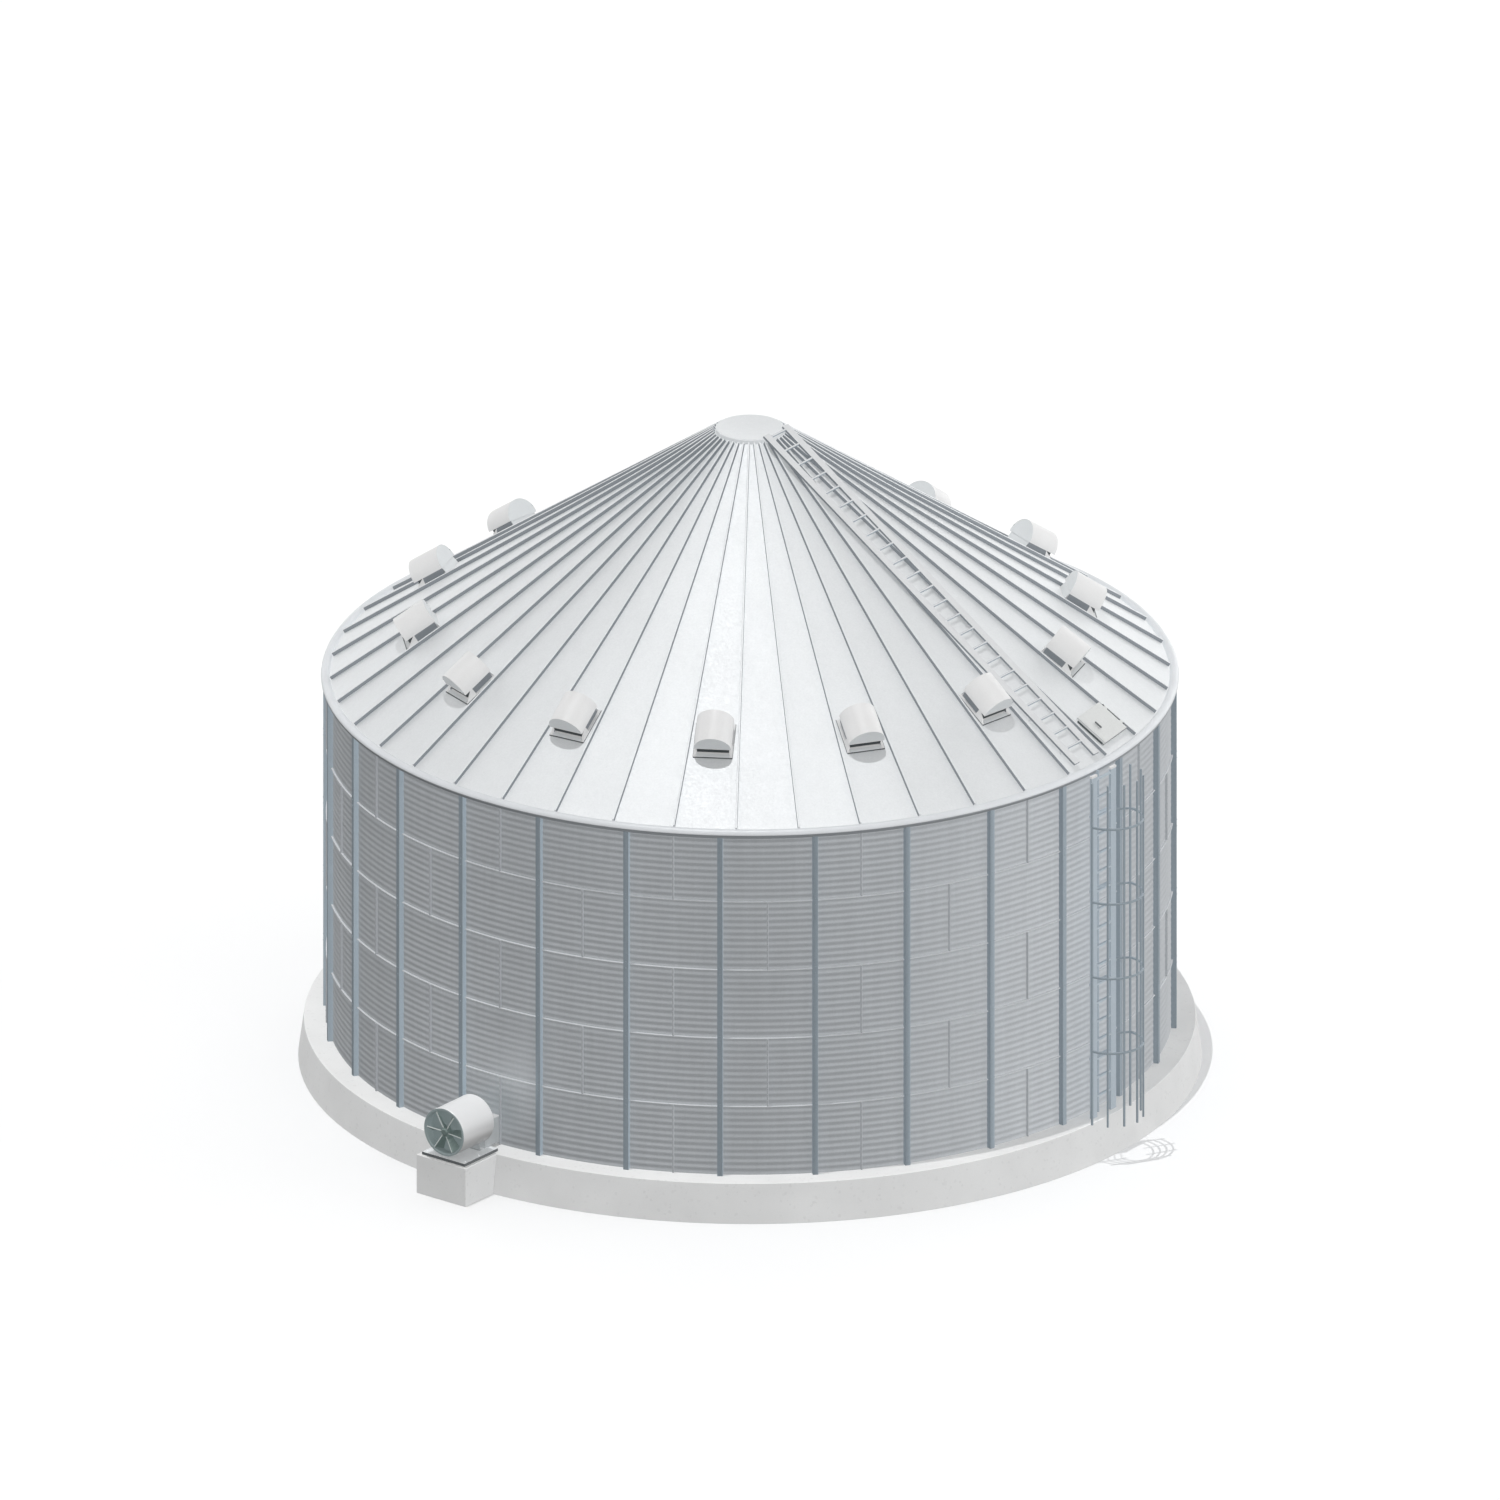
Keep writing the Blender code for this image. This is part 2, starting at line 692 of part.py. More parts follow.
def build_cage():
    """The half-round safety cage: seven bars, four hoops, arms to the rails."""
    columns = []
    for k in range(CAGE_BARS):
        a = -pi / 2 + pi * k / (CAGE_BARS - 1)
        out, across = (cos(a), sin(a)), (-sin(a), cos(a))
        corners = []
        for r, w in ((-CAGE_BAR, -CAGE_BAR), (-CAGE_BAR, CAGE_BAR),
                     (0.0, CAGE_BAR), (0.0, -CAGE_BAR)):
            r += CAGE_RADIUS
            corners.append((r * out[0] + w / 2 * across[0],
                            r * out[1] + w / 2 * across[1]))
        columns.append(corners)
    levels, links = [CAGE_BOTTOM], []
    for z in HOOPS:
        links.append(len(levels))
        levels += [z - HOOP_H / 2, z + HOOP_H / 2]
    levels.append(CAGE_TOP)
    bm = bmesh.new()
    stacks = add_lattice(bm, columns, levels, links)
    rail_edge = LADDER_GAUGE / 2 + RAIL_W / 2 + GAP
    rail_at = LADDER_R - CAGE_R
    for stack, k, sign in ((stacks[0], 3, -1), (stacks[-1], 1, 1)):
        for n in links:
            a, b = stack[n], stack[n + 1]
            m = (k + 1) % 4
            ring = {a[k], a[m], b[m], b[k]}
            face = next(f for f in a[k].link_faces if set(f.verts) == ring)
            made = bmesh.ops.extrude_discrete_faces(bm, faces=[face])["faces"][0]
            for v in made.verts:
                outer = abs(v.co.y) > CAGE_RADIUS - CAGE_BAR / 2
                v.co.x = rail_at + (-CAGE_ARM / 2 if outer else CAGE_ARM / 2)
                v.co.y = sign * rail_edge
    make_object("ladder_cage", bm, LADDER_STEEL, upright_matrix(LADDER_T, CAGE_R))


def build_roof_ladder():
    """The ladder that lies up the roof, over the ribs and on short feet."""
    tilt = atan2(tan(ROOF_SLOPE), cos(radians(PANEL / 2)))
    low = ROOF_LADDER_LOW_R / cos(tilt)
    high = ROOF_LADDER_HIGH_R / cos(tilt)
    middle = (low + high) / 2
    rungs = []
    place = ROOF_LADDER_TOP_RUNG_R / cos(tilt)
    while place < low - RUNG_PITCH / 2:
        rungs.append(place - middle)
        place += RUNG_PITCH
    feet = []
    for up in ROOF_LADDER_FEET:
        wanted = low - middle - up
        near = min(rungs, key=lambda rung: abs(rung - wanted))
        feet.append(near - RUNG_PITCH / 2)
    spans = sorted([(p - RUNG / 2, p + RUNG / 2, "rung") for p in rungs]
                   + [(p - ROOF_LADDER_FOOT_L / 2, p + ROOF_LADDER_FOOT_L / 2, "foot")
                      for p in feet])
    levels, links, arms = [high - middle], [], []
    for a, b, kind in spans:
        (links if kind == "rung" else arms).append(len(levels))
        levels += [a, b]
    levels.append(low - middle)
    bm = bmesh.new()
    columns = ladder_columns(LADDER_GAUGE, RAIL_W, RAIL_D)
    stacks = add_lattice(bm, columns, levels, links)
    seat = RIB_H + 2 * GAP + RAIL_D / 2
    for stack in stacks:
        for n in arms:
            a, b = stack[n], stack[n + 1]
            ring = {a[0], a[1], b[1], b[0]}
            face = next(f for f in a[0].link_faces if set(f.verts) == ring)
            made = bmesh.ops.extrude_discrete_faces(bm, faces=[face])["faces"][0]
            for v in made.verts:
                v.co.x = GAP - seat
    turn = Matrix(((0, 0, 1), (0, 1, 0), (1, 0, 0))).to_4x4()
    centre = panel_matrix(LADDER_T, middle * cos(tilt))
    lift = Matrix.Translation((0, 0, seat))
    bmesh.ops.transform(bm, matrix=lift @ turn, verts=bm.verts)
    make_object("roof_ladder", bm, LADDER_STEEL, centre)


def add_rod(bm, low, high, radius, sides, y, z):
    """Add a rod along X."""
    rings = []
    for x in (low, high):
        rings.append([(x, y + radius * cos(2 * pi * (k + 0.5) / sides),
                       z + radius * sin(2 * pi * (k + 0.5) / sides))
                      for k in range(sides)])
    add_loft(bm, rings)


def build_hatch():
    """The hatch's curb on the roof and its hinged lid."""
    frame = panel_matrix(HATCH_T, HATCH_R)
    bm = bmesh.new()
    add_box(bm, (-CURB_S, -CURB_T, GAP), (CURB_S, CURB_T, CURB_N))
    curb = make_object("hatch_curb", bm, ROOF_STEEL, frame)
    bm = bmesh.new()
    s, t = CURB_S - CURB_WALL, CURB_T - CURB_WALL
    add_box(bm, (-s, -t, -0.1), (s, t, 0.2))
    boolean(curb, make_tool("curb_hole", bm, frame), "DIFFERENCE")
    for number, place in enumerate(BRACKET_S):
        low, high = place - HINGE_BRACKET / 2, place + HINGE_BRACKET / 2
        bm = bmesh.new()
        outline = ((CURB_T - 0.01, 0.008), (HINGE_T + 0.012, 0.008),
                   (HINGE_T + 0.012, HINGE_N + 0.010),
                   (HINGE_T - 0.010, HINGE_N + 0.010),
                   (HINGE_T - 0.010, 0.040), (CURB_T - 0.01, 0.040))
        add_loft(bm, [[(x, y, z) for y, z in outline] for x in (low, high)])
        boolean(curb, make_tool(f"hinge_bracket_{number + 1}", bm, frame), "UNION")
    bm = bmesh.new()
    add_rod(bm, BRACKET_S[0] - 0.012, BRACKET_S[-1] + 0.012, HINGE_ROD, 12,
            HINGE_T, HINGE_N)
    boolean(curb, make_tool("hinge_rod", bm, frame), "UNION")

    axis = frame @ Matrix.Translation((0, HINGE_T, HINGE_N))
    shift = Matrix.Translation((0, -HINGE_T, -HINGE_N))
    top = LID_N + LID_PLATE
    bm = bmesh.new()
    add_box(bm, (-LID_S, -LID_T, LID_LIP_N), (LID_S, LID_T, top))
    bmesh.ops.transform(bm, matrix=shift, verts=bm.verts)
    lid = make_object("hatch_lid", bm, ROOF_STEEL, axis)
    bm = bmesh.new()
    s, t = LID_S - LID_LIP, LID_T - LID_LIP
    add_box(bm, (-s, -t, LID_LIP_N - 0.1), (s, t, LID_N))
    boolean(lid, make_tool("lid_hollow", bm, frame), "DIFFERENCE")
    for number, place in enumerate(KNUCKLE_S):
        low, high = place - KNUCKLE_L / 2, place + KNUCKLE_L / 2
        bm = bmesh.new()
        outer, inner = [], []
        for k in range(12):
            a = 2 * pi * (k + 0.5) / 12
            outer.append((cos(a) * HINGE_BARREL, sin(a) * HINGE_BARREL))
            inner.append((cos(a) * HINGE_BORE, sin(a) * HINGE_BORE))
        rings = [[(x, HINGE_T + u, HINGE_N + v) for u, v in ring]
                 for x, ring in ((low, outer), (high, outer), (high, inner), (low, inner))]
        add_loft(bm, rings + rings[:1], caps=False)
        bmesh.ops.remove_doubles(bm, verts=bm.verts, dist=1e-6)
        boolean(lid, make_tool(f"knuckle_{number + 1}", bm, frame), "UNION")
        bm = bmesh.new()
        add_box(bm, (low, LID_T - 0.004, HINGE_N - 0.004),
                (high, HINGE_T - HINGE_BARREL + 0.003, HINGE_N + 0.006))
        boolean(lid, make_tool(f"hinge_leaf_{number + 1}", bm, frame), "UNION")
    handle_t, handle_l, handle_h = -0.154, 0.13, 0.03
    outline = ((-handle_l / 2, top - 0.004), (-handle_l / 2, top + handle_h),
               (handle_l / 2, top + handle_h), (handle_l / 2, top - 0.004),
               (handle_l / 2 - 0.014, top - 0.004),
               (handle_l / 2 - 0.014, top + handle_h - 0.014),
               (-handle_l / 2 + 0.014, top + handle_h - 0.014),
               (-handle_l / 2 + 0.014, top - 0.004))
    bm = bmesh.new()
    add_loft(bm, [[(x, y, z) for x, z in outline]
                  for y in (handle_t - 0.008, handle_t + 0.008)])
    boolean(lid, make_tool("lid_handle", bm, frame), "UNION")


def build_fan_pad():
    """The concrete pad beside the slab."""
    left, right = PAD_SIDES
    rings = []
    for radius, z in ((SLAB_R_BOTTOM, 0.0), (SLAB_R_TOP, SLAB_H)):
        knee = radius * sin(radians(FACET / 2))
        inner = [(polygon_reach(FAN_T, y, radius) + GAP, y, z)
                 for y in (left, -knee, knee, right)]
        rings.append(inner + [(PAD_OUT, right, z), (PAD_OUT, left, z)])
    bm = bmesh.new()
    add_loft(bm, rings)
    make_object("fan_pad", bm, CONCRETE, upright_matrix(FAN_T))


def build_fan_base():
    """The steel base plate that lies over the slab and the pad."""
    left, right = PLATE_SIDES
    bm = bmesh.new()
    add_box(bm, (PLATE_IN, left, SLAB_H + GAP), (PLATE_OUT, right, SLAB_H + PLATE_T))
    make_object("fan_base", bm, DARK_STEEL, upright_matrix(FAN_T))


def build_port(name, back, front):
    """The square hole that the air takes from the barrel into the box."""
    bm = bmesh.new()
    add_box(bm, (back, -PORT_W / 2, PORT_LOW), (front, PORT_W / 2, PORT_HIGH))
    return make_tool(name, bm, upright_matrix(FAN_T, side=FAN_SIDE))


def build_fan_housing():
    """The fan's round barrel, with its rim chamfered and a back plate."""
    outline = ((FAN_R, FAN_REAR), (FAN_R, FAN_FRONT - FAN_RIM),
               (FAN_R - FAN_RIM, FAN_FRONT), (FAN_BORE, FAN_FRONT),
               (FAN_BORE, FAN_REAR + FAN_BACK_T))
    bm = bmesh.new()
    rings = []
    for radius, along in outline:
        rings.append([(along, radius * cos(a), radius * sin(a))
                      for a in (2 * pi * (k + 0.5) / FAN_SIDES
                                for k in range(FAN_SIDES))])
    add_loft(bm, rings)
    barrel = make_object("fan_housing", bm, PAINTED,
                         upright_matrix(FAN_T, 0.0, FAN_SIDE, FAN_Z))
    boolean(barrel, build_port("barrel_port", FAN_REAR - 0.01, FAN_REAR + 0.05),
            "DIFFERENCE")
    smooth_round(barrel)


def build_impeller():
    """The hub, its six twisted blades and the shaft, turning on the fan axis."""
    sides = 24

    def circle(radius, x):
        return [(x, radius * cos(a), radius * sin(a))
                for a in (BLADE_PHASE + 2 * pi * (k - 0.5) / sides
                          for k in range(sides))]

    bm = bmesh.new()
    loops = add_loft(bm, [circle(0.6 * HUB_R, HUB_NOSE), circle(HUB_R, 0.0),
                          circle(HUB_R, -HUB_L), circle(SHAFT_R, -HUB_L),
                          circle(SHAFT_R, -HUB_L - SHAFT_L)])
    for blade in range(BLADES):
        k = blade * sides // BLADES
        ring = {loops[1][k], loops[1][k + 1], loops[2][k + 1], loops[2][k]}
        face = next(f for f in loops[1][k].link_faces if set(f.verts) == ring)
        a = BLADE_PHASE + 2 * pi * k / sides
        out = Vector((0, cos(a), sin(a)))
        centre = Vector((-HUB_L / 2, 0, 0))
        root = [(v.co - centre - out * out.dot(v.co - centre)) for v in face.verts]
        steps = 4
        for step in range(1, steps + 1):
            face = bmesh.ops.extrude_discrete_faces(bm, faces=[face])["faces"][0]
            share = step / steps
            reach = HUB_R + (BLADE_TIP - HUB_R) * share
            turn = Matrix.Rotation(BLADE_TWIST * (0.5 + 0.5 * share), 3, out)
            for v, flat in zip(face.verts, root):
                wide = Vector((flat.x * (0.9 + 0.6 * share), flat.y * 0.8, flat.z * 0.8))
                v.co = centre + out * reach + turn @ wide
    obj = make_object("fan_impeller", bm, DARK_STEEL,
                      upright_matrix(FAN_T, HUB_AT, FAN_SIDE, FAN_Z))
    smooth_round(obj, radians(35))


def build_motor():
    """The motor behind the blades, held in the barrel by four struts."""
    sides = 16
    front = HUB_AT - HUB_L - 0.012
    bm = bmesh.new()

    def circle(radius, x):
        return [(x, radius * cos(2 * pi * (k + 0.5) / sides),
                 radius * sin(2 * pi * (k + 0.5) / sides)) for k in range(sides)]

    strut_at = front - MOTOR_L / 2
    rings = [circle(MOTOR_BORE / cos(pi / sides), front - SHAFT_L),
             circle(MOTOR_BORE / cos(pi / sides), front),
             circle(MOTOR_R - 0.012, front), circle(MOTOR_R, front - 0.012),
             circle(MOTOR_R, strut_at + STRUT_W / 2),
             circle(MOTOR_R, strut_at - STRUT_W / 2),
             circle(MOTOR_R, front - MOTOR_L + 0.012),
             circle(MOTOR_R - 0.012, front - MOTOR_L)]
    loops = add_loft(bm, rings)
    for strut in range(4):
        k = (strut * 2 + 1) * sides // 8 - 1
        m = (k + 1) % sides
        ring = {loops[4][k], loops[4][m], loops[5][m], loops[5][k]}
        face = next(f for f in loops[4][k].link_faces if set(f.verts) == ring)
        face = bmesh.ops.extrude_discrete_faces(bm, faces=[face])["faces"][0]
        a = 2 * pi * (k + 1) / sides
        out = Vector((0, cos(a), sin(a)))
        flat = FAN_BORE * cos(pi / FAN_SIDES) - GAP
        for v in face.verts:
            rest = v.co - out * out.dot(v.co)
            side = Vector((0, rest.y, rest.z))
            v.co = Vector((rest.x, 0, 0)) + side * 0.5 + out * flat
    smooth_round(make_object("fan_motor", bm, DARK_STEEL,
                             upright_matrix(FAN_T, 0.0, FAN_SIDE, FAN_Z)))


def build_duct():
    """The box behind the barrel, open to the hole in the wall."""
    half = DUCT_W / 2
    wall = WALL_R * cos(radians(FACET / 2)) + GAP
    front = FAN_REAR - GAP
    bm = bmesh.new()
    add_box(bm, (wall, -half, DUCT_LOW), (front, half, DUCT_HIGH))
    frame = upright_matrix(FAN_T, side=FAN_SIDE)
    box = make_object("fan_duct", bm, PAINTED, frame)
    bm = bmesh.new()
    add_box(bm, (wall - 0.05, -half + DUCT_T, DUCT_LOW + DUCT_T),
            (front - DUCT_T, half - DUCT_T, DUCT_HIGH - DUCT_T))
    boolean(box, make_tool("duct_hollow", bm, frame), "DIFFERENCE")
    boolean(box, build_port("box_port", front - 0.05, front + 0.01), "DIFFERENCE")


def main():
    """Build the silo."""
    clear_scene()
    build_slab()
    for segment in range(SEGMENTS):
        build_wall(segment)
        build_eave(segment)
        build_roof(segment)
    build_cap()
    for number in range(14):
        build_vent(number + 1, PHASE + FACET + number * 6 * FACET)
    build_wall_ladder()
    build_cage()
    build_roof_ladder()
    build_hatch()
    build_fan_pad()
    build_fan_base()
    build_fan_housing()
    build_impeller()
    build_motor()
    build_duct()


main()
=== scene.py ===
from math import atan2, cos, degrees, pi, radians, sin, tan

import bmesh
import bpy
from mathutils import Matrix, Vector


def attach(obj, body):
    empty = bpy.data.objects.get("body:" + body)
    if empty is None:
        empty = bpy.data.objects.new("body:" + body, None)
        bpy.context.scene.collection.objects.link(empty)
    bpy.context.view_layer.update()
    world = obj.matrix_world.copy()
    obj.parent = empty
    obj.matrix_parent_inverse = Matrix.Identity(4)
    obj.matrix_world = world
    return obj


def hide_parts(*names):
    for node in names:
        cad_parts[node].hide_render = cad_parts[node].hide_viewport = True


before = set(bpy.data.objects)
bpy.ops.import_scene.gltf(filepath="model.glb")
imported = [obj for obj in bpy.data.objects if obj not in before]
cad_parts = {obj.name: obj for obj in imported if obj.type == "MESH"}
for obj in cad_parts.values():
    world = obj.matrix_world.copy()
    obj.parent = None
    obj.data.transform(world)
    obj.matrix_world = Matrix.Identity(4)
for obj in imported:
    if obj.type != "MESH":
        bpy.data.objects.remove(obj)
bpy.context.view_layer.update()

# The bin's own dimensions, in metres, as the solids have them. Angles round the
# axis are in degrees from the front (-Y), positive towards +X; facets and
# segments are counted from PHASE.
WALL_R = 6.41
RING_H = 1.1176
RINGS = 5
FACETS = 84
FACET = 360.0 / FACETS
PHASE = -10.46
SEGMENTS = 7
SEGMENT = 360.0 / SEGMENTS
SLAB_H = 0.6305
SLAB_R_TOP = 6.769
SLAB_R_BOTTOM = 6.857
WALL_TOP = SLAB_H + RINGS * RING_H
WALL_STOP = WALL_TOP - 0.045
POST_W = 0.082
POST_R = 6.49
EAVE_R = 6.4375
EAVE_TUBE = 0.0725
EAVE_INNER = 6.386
SLOPE = radians(34.1)
ROOF_FOOT_R = 6.404
PANEL = 2 * FACET
PANEL_TILT = atan2(tan(SLOPE), cos(radians(PANEL / 2)))
RIB_W = 0.026
RIB_H = 0.062
RIB_START_R = 0.53
RIB_STOP_R = 6.355
ROOF_HOLE_R = 0.46
CAP_R = 0.5235
CAP_TOP = 10.273
VENT_R = 5.008
LADDER_T = PHASE + 15 * FACET
HATCH_T = PHASE + 17 * FACET
HATCH_R = 5.98
FAN_T = PHASE - 6.5 * FACET
FAN_SIDE = 0.03
FAN_Z = 1.1275
UP = Vector((0, 0, 1))

# Small distances that many pieces share
OFF_SHEET = 0.0003
OFF_SLAB = 0.001
OVERLAP = 0.001
FINE_CUT = 0.001


def radial(angle):
    """Return the horizontal unit vector outward at an angle from the front."""
    a = radians(angle)
    return Vector((sin(a), -cos(a), 0.0))


def sideways(angle):
    """Return the horizontal unit vector in the sense of rising angle."""
    a = radians(angle)
    return Vector((cos(a), sin(a), 0.0))


def polar(angle, radius, z=0.0):
    """Return the point at an angle, a radius and a height."""
    point = radial(angle) * radius
    point.z = z
    return point


def panel_top(point, centre_angle):
    """Return the height of a flat roof panel's upper face above a point."""
    along = point.x * radial(centre_angle).x + point.y * radial(centre_angle).y
    foot = along / cos(radians(PANEL / 2))
    return WALL_TOP + (ROOF_FOOT_R - foot) * tan(SLOPE)


def panel_matrix(centre_angle, radius):
    """Return the frame of a roof panel: X down the slope, Y round, Z off it."""
    origin = polar(centre_angle, radius)
    origin.z = panel_top(origin, centre_angle)
    out, across = radial(centre_angle), sideways(centre_angle)
    down = out * cos(PANEL_TILT) - UP * sin(PANEL_TILT)
    normal = out * sin(PANEL_TILT) + UP * cos(PANEL_TILT)
    matrix = Matrix((down, across, normal)).transposed().to_4x4()
    matrix.translation = origin
    return matrix


def upright_matrix(angle, outward=0.0, side=0.0, z=0.0):
    """Return the frame at an angle round the bin: X outward, Y across, Z up."""
    matrix = Matrix((radial(angle), sideways(angle), UP)).transposed().to_4x4()
    matrix.translation = polar(angle, outward, z) + sideways(angle) * side
    return matrix


# The range that most of a noise's values fall in
NOISE_RANGE = (0.3, 0.7)


class Nodes:
    """Builds a material's node tree in few words."""

    def __init__(self, name, color, roughness, metallic, specular=0.5):
        self.mat = bpy.data.materials.new(name)
        self.mat.use_nodes = True
        self.tree = self.mat.node_tree
        self.shader = self.tree.nodes["Principled BSDF"]
        self.shader.inputs["Base Color"].default_value = (*color, 1.0)
        self.shader.inputs["Roughness"].default_value = roughness
        self.shader.inputs["Metallic"].default_value = metallic
        self.shader.inputs["Specular IOR Level"].default_value = specular
        self.place = self.tree.nodes.new("ShaderNodeTexCoord").outputs["Object"]

    def link(self, a, b):
        """Join an output to an input."""
        self.tree.links.new(a, b)

    def stretched(self, scale):
        """Return the object coordinates, scaled per axis."""
        node = self.tree.nodes.new("ShaderNodeMapping")
        node.inputs["Scale"].default_value = scale
        self.link(self.place, node.inputs["Vector"])
        return node.outputs["Vector"]

    def noise(self, scale, detail, where=None):
        """Return a noise value."""
        node = self.tree.nodes.new("ShaderNodeTexNoise")
        node.inputs["Scale"].default_value = scale
        node.inputs["Detail"].default_value = detail
        self.link(where or self.place, node.inputs["Vector"])
        return node.outputs["Fac"]

    def cells(self, scale):
        """Return a random grey for each cell of a crystal pattern."""
        node = self.tree.nodes.new("ShaderNodeTexVoronoi")
        node.inputs["Scale"].default_value = scale
        self.link(self.place, node.inputs["Vector"])
        split = self.tree.nodes.new("ShaderNodeSeparateColor")
        self.link(node.outputs["Color"], split.inputs["Color"])
        return split.outputs["Red"]

    def span(self, value, low, high, start=0.0, stop=1.0):
        """Return a value mapped from start..stop to low..high."""
        node = self.tree.nodes.new("ShaderNodeMapRange")
        for key, number in (("From Min", start), ("From Max", stop),
                            ("To Min", low), ("To Max", high)):
            node.inputs[key].default_value = number
        self.link(value, node.inputs["Value"])
        return node.outputs["Result"]

    def uneven(self, amount, scale, detail, middle=1.0, where=None):
        """Return a noise that wavers by an amount about a middle value."""
        value = self.noise(scale, detail, where)
        return self.span(value, middle - amount, middle + amount, *NOISE_RANGE)

    def times(self, a, b):
        """Return the product of two values."""
        node = self.tree.nodes.new("ShaderNodeMath")
        node.operation = "MULTIPLY"
        self.link(a, node.inputs[0])
        self.link(b, node.inputs[1])
        return node.outputs["Value"]

    def tint(self, color, value):
        """Shade the base colour by a value near one."""
        node = self.tree.nodes.new("ShaderNodeVectorMath")
        node.operation = "SCALE"
        node.inputs[0].default_value = color
        self.link(value, node.inputs["Scale"])
        self.link(node.outputs["Vector"], self.shader.inputs["Base Color"])

    def rough(self, value):
        """Set the roughness by a value."""
        self.link(value, self.shader.inputs["Roughness"])

    def bump(self, value, distance, strength):
        """Raise the surface by a value."""
        node = self.tree.nodes.new("ShaderNodeBump")
        node.inputs["Distance"].default_value = distance
        node.inputs["Strength"].default_value = strength
        self.link(value, node.inputs["Height"])
        self.link(node.outputs["Normal"], self.shader.inputs["Normal"])


def galvanised(name, color, roughness, metallic, spangle=0.03, streak=0.025):
    """Zinc-coated sheet: crystals, rain streaks and slightly uneven gloss."""
    n = Nodes(name, color, roughness, metallic)
    crystals = n.span(n.cells(70.0), 1 - spangle, 1 + spangle)
    streaks = n.uneven(streak, scale=1.0, detail=5.0, where=n.stretched((9.0, 9.0, 0.5)))
    clouds = n.uneven(0.015, scale=0.7, detail=3.0)
    n.tint(color, n.times(n.times(crystals, streaks), clouds))
    n.rough(n.uneven(0.06, scale=30.0, detail=3.0, middle=roughness))
    n.bump(n.noise(220.0, 2.0), distance=0.0006, strength=0.25)
    return n.mat


def painted(name, color, roughness, metallic=0.0):
    """Coated sheet: even colour with faint dust and a fine orange peel."""
    n = Nodes(name, color, roughness, metallic)
    dust = n.uneven(0.03, scale=1.6, detail=6.0)
    fine = n.uneven(0.015, scale=45.0, detail=3.0)
    n.tint(color, n.times(dust, fine))
    n.rough(n.uneven(0.05, scale=12.0, detail=3.0, middle=roughness))
    n.bump(n.noise(300.0, 2.0), distance=0.0004, strength=0.2)
    return n.mat


def concrete(name, color):
    """Cast concrete: cloudy, with sand grain, pores and an uneven face."""
    n = Nodes(name, color, roughness=0.9, metallic=0.0, specular=0.3)
    clouds = n.uneven(0.04, scale=1.1, detail=7.0)
    grain = n.uneven(0.03, scale=160.0, detail=3.0)
    pores = n.span(n.cells(28.0), 0.93, 1.0, 0.0, 0.06)
    n.tint(color, n.times(n.times(clouds, grain), pores))
    n.bump(n.noise(90.0, 5.0), distance=0.002, strength=0.5)
    return n.mat


def barrel_paint(name, color):
    """White coating with faint dust, and painted shade that darkens it towards the barrel's
    underside.
    """
    n = Nodes(name, color, roughness=0.32, metallic=0.35)
    split = n.tree.nodes.new("ShaderNodeSeparateXYZ")
    n.link(n.place, split.inputs["Vector"])
    # Painted shade: the colour falls off from the barrel's top to its underside
    underside_shade = n.span(split.outputs["Z"], BARREL_UNDERSIDE_SHADE, 1.0, FAN_Z - FAN_R, FAN_Z + FAN_R)
    dust = n.uneven(0.03, scale=1.6, detail=6.0)
    n.tint(color, n.times(underside_shade, dust))
    n.bump(n.noise(300.0, 2.0), distance=0.0004, strength=0.2)
    return n.mat


def make_piece(name, bm, mat, body="silo", replaces=(), smooth=35.0,
               slender=False, more=()):
    """Turn a finished mesh into one piece that rides on a body.

    Faces whose material index is 1 or higher take their material from more.
    A slender piece leaves no smudge in the gloss of the sheets behind it.
    """
    bmesh.ops.recalc_face_normals(bm, faces=bm.faces)
    mesh = bpy.data.meshes.new(name)
    bm.to_mesh(mesh)
    bm.free()
    mesh.shade_smooth()
    mesh.set_sharp_from_angle(angle=radians(smooth))
    for used in (mat, *more):
        mesh.materials.append(used)
    obj = bpy.data.objects.new(name, mesh)
    bpy.context.scene.collection.objects.link(obj)
    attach(obj, body)
    if replaces:
        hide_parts(*replaces)
    if slender:
        obj.visible_glossy = False
    return obj


def place(bm, matrix):
    """Move all that a mesh holds into a frame."""
    bmesh.ops.transform(bm, matrix=matrix, verts=bm.verts)


def add_loft(bm, rings, caps=True, closed=False):
    """Add a skin through rings of points, capped at its ends or closed on itself."""
    loops = [[bm.verts.new(p) for p in ring] for ring in rings]
    count = len(loops[0])
    following = loops[1:] + (loops[:1] if closed else [])
    for a, b in zip(loops, following):
        for i in range(count):
            j = (i + 1) % count
            bm.faces.new((a[i], a[j], b[j], b[i]))
    if caps and not closed:
        bm.faces.new(loops[0])
        bm.faces.new(loops[-1])
    return loops


def chamfered(half_a, half_b, cut):
    """Return a rectangle's outline with its corners cut, as eight points."""
    points = []
    for u, v in ((-1, -1), (1, -1), (1, 1), (-1, 1)):
        first = (u * (half_a - cut), v * half_b)
        second = (u * half_a, v * (half_b - cut))
        points += [second, first] if u * v > 0 else [first, second]
    return points


# The largest cut of a box's edges, as a share of its smallest half size
CUT_LIMIT = 0.4


def add_block(bm, low, high, cut=0.002, matrix=None):
    """Add a box between two corners with all its edges cut."""
    middle = [(a + b) / 2 for a, b in zip(low, high)]
    half = [(b - a) / 2 for a, b in zip(low, high)]
    cut = min(cut, CUT_LIMIT * min(half))
    rings = []
    for z, shrink in ((low[2], cut), (low[2] + cut, 0.0),
                      (high[2] - cut, 0.0), (high[2], cut)):
        outline = chamfered(half[0] - shrink, half[1] - shrink, cut)
        ring = [Vector((middle[0] + x, middle[1] + y, z)) for x, y in outline]
        rings.append([matrix @ p for p in ring] if matrix else ring)
    add_loft(bm, rings)


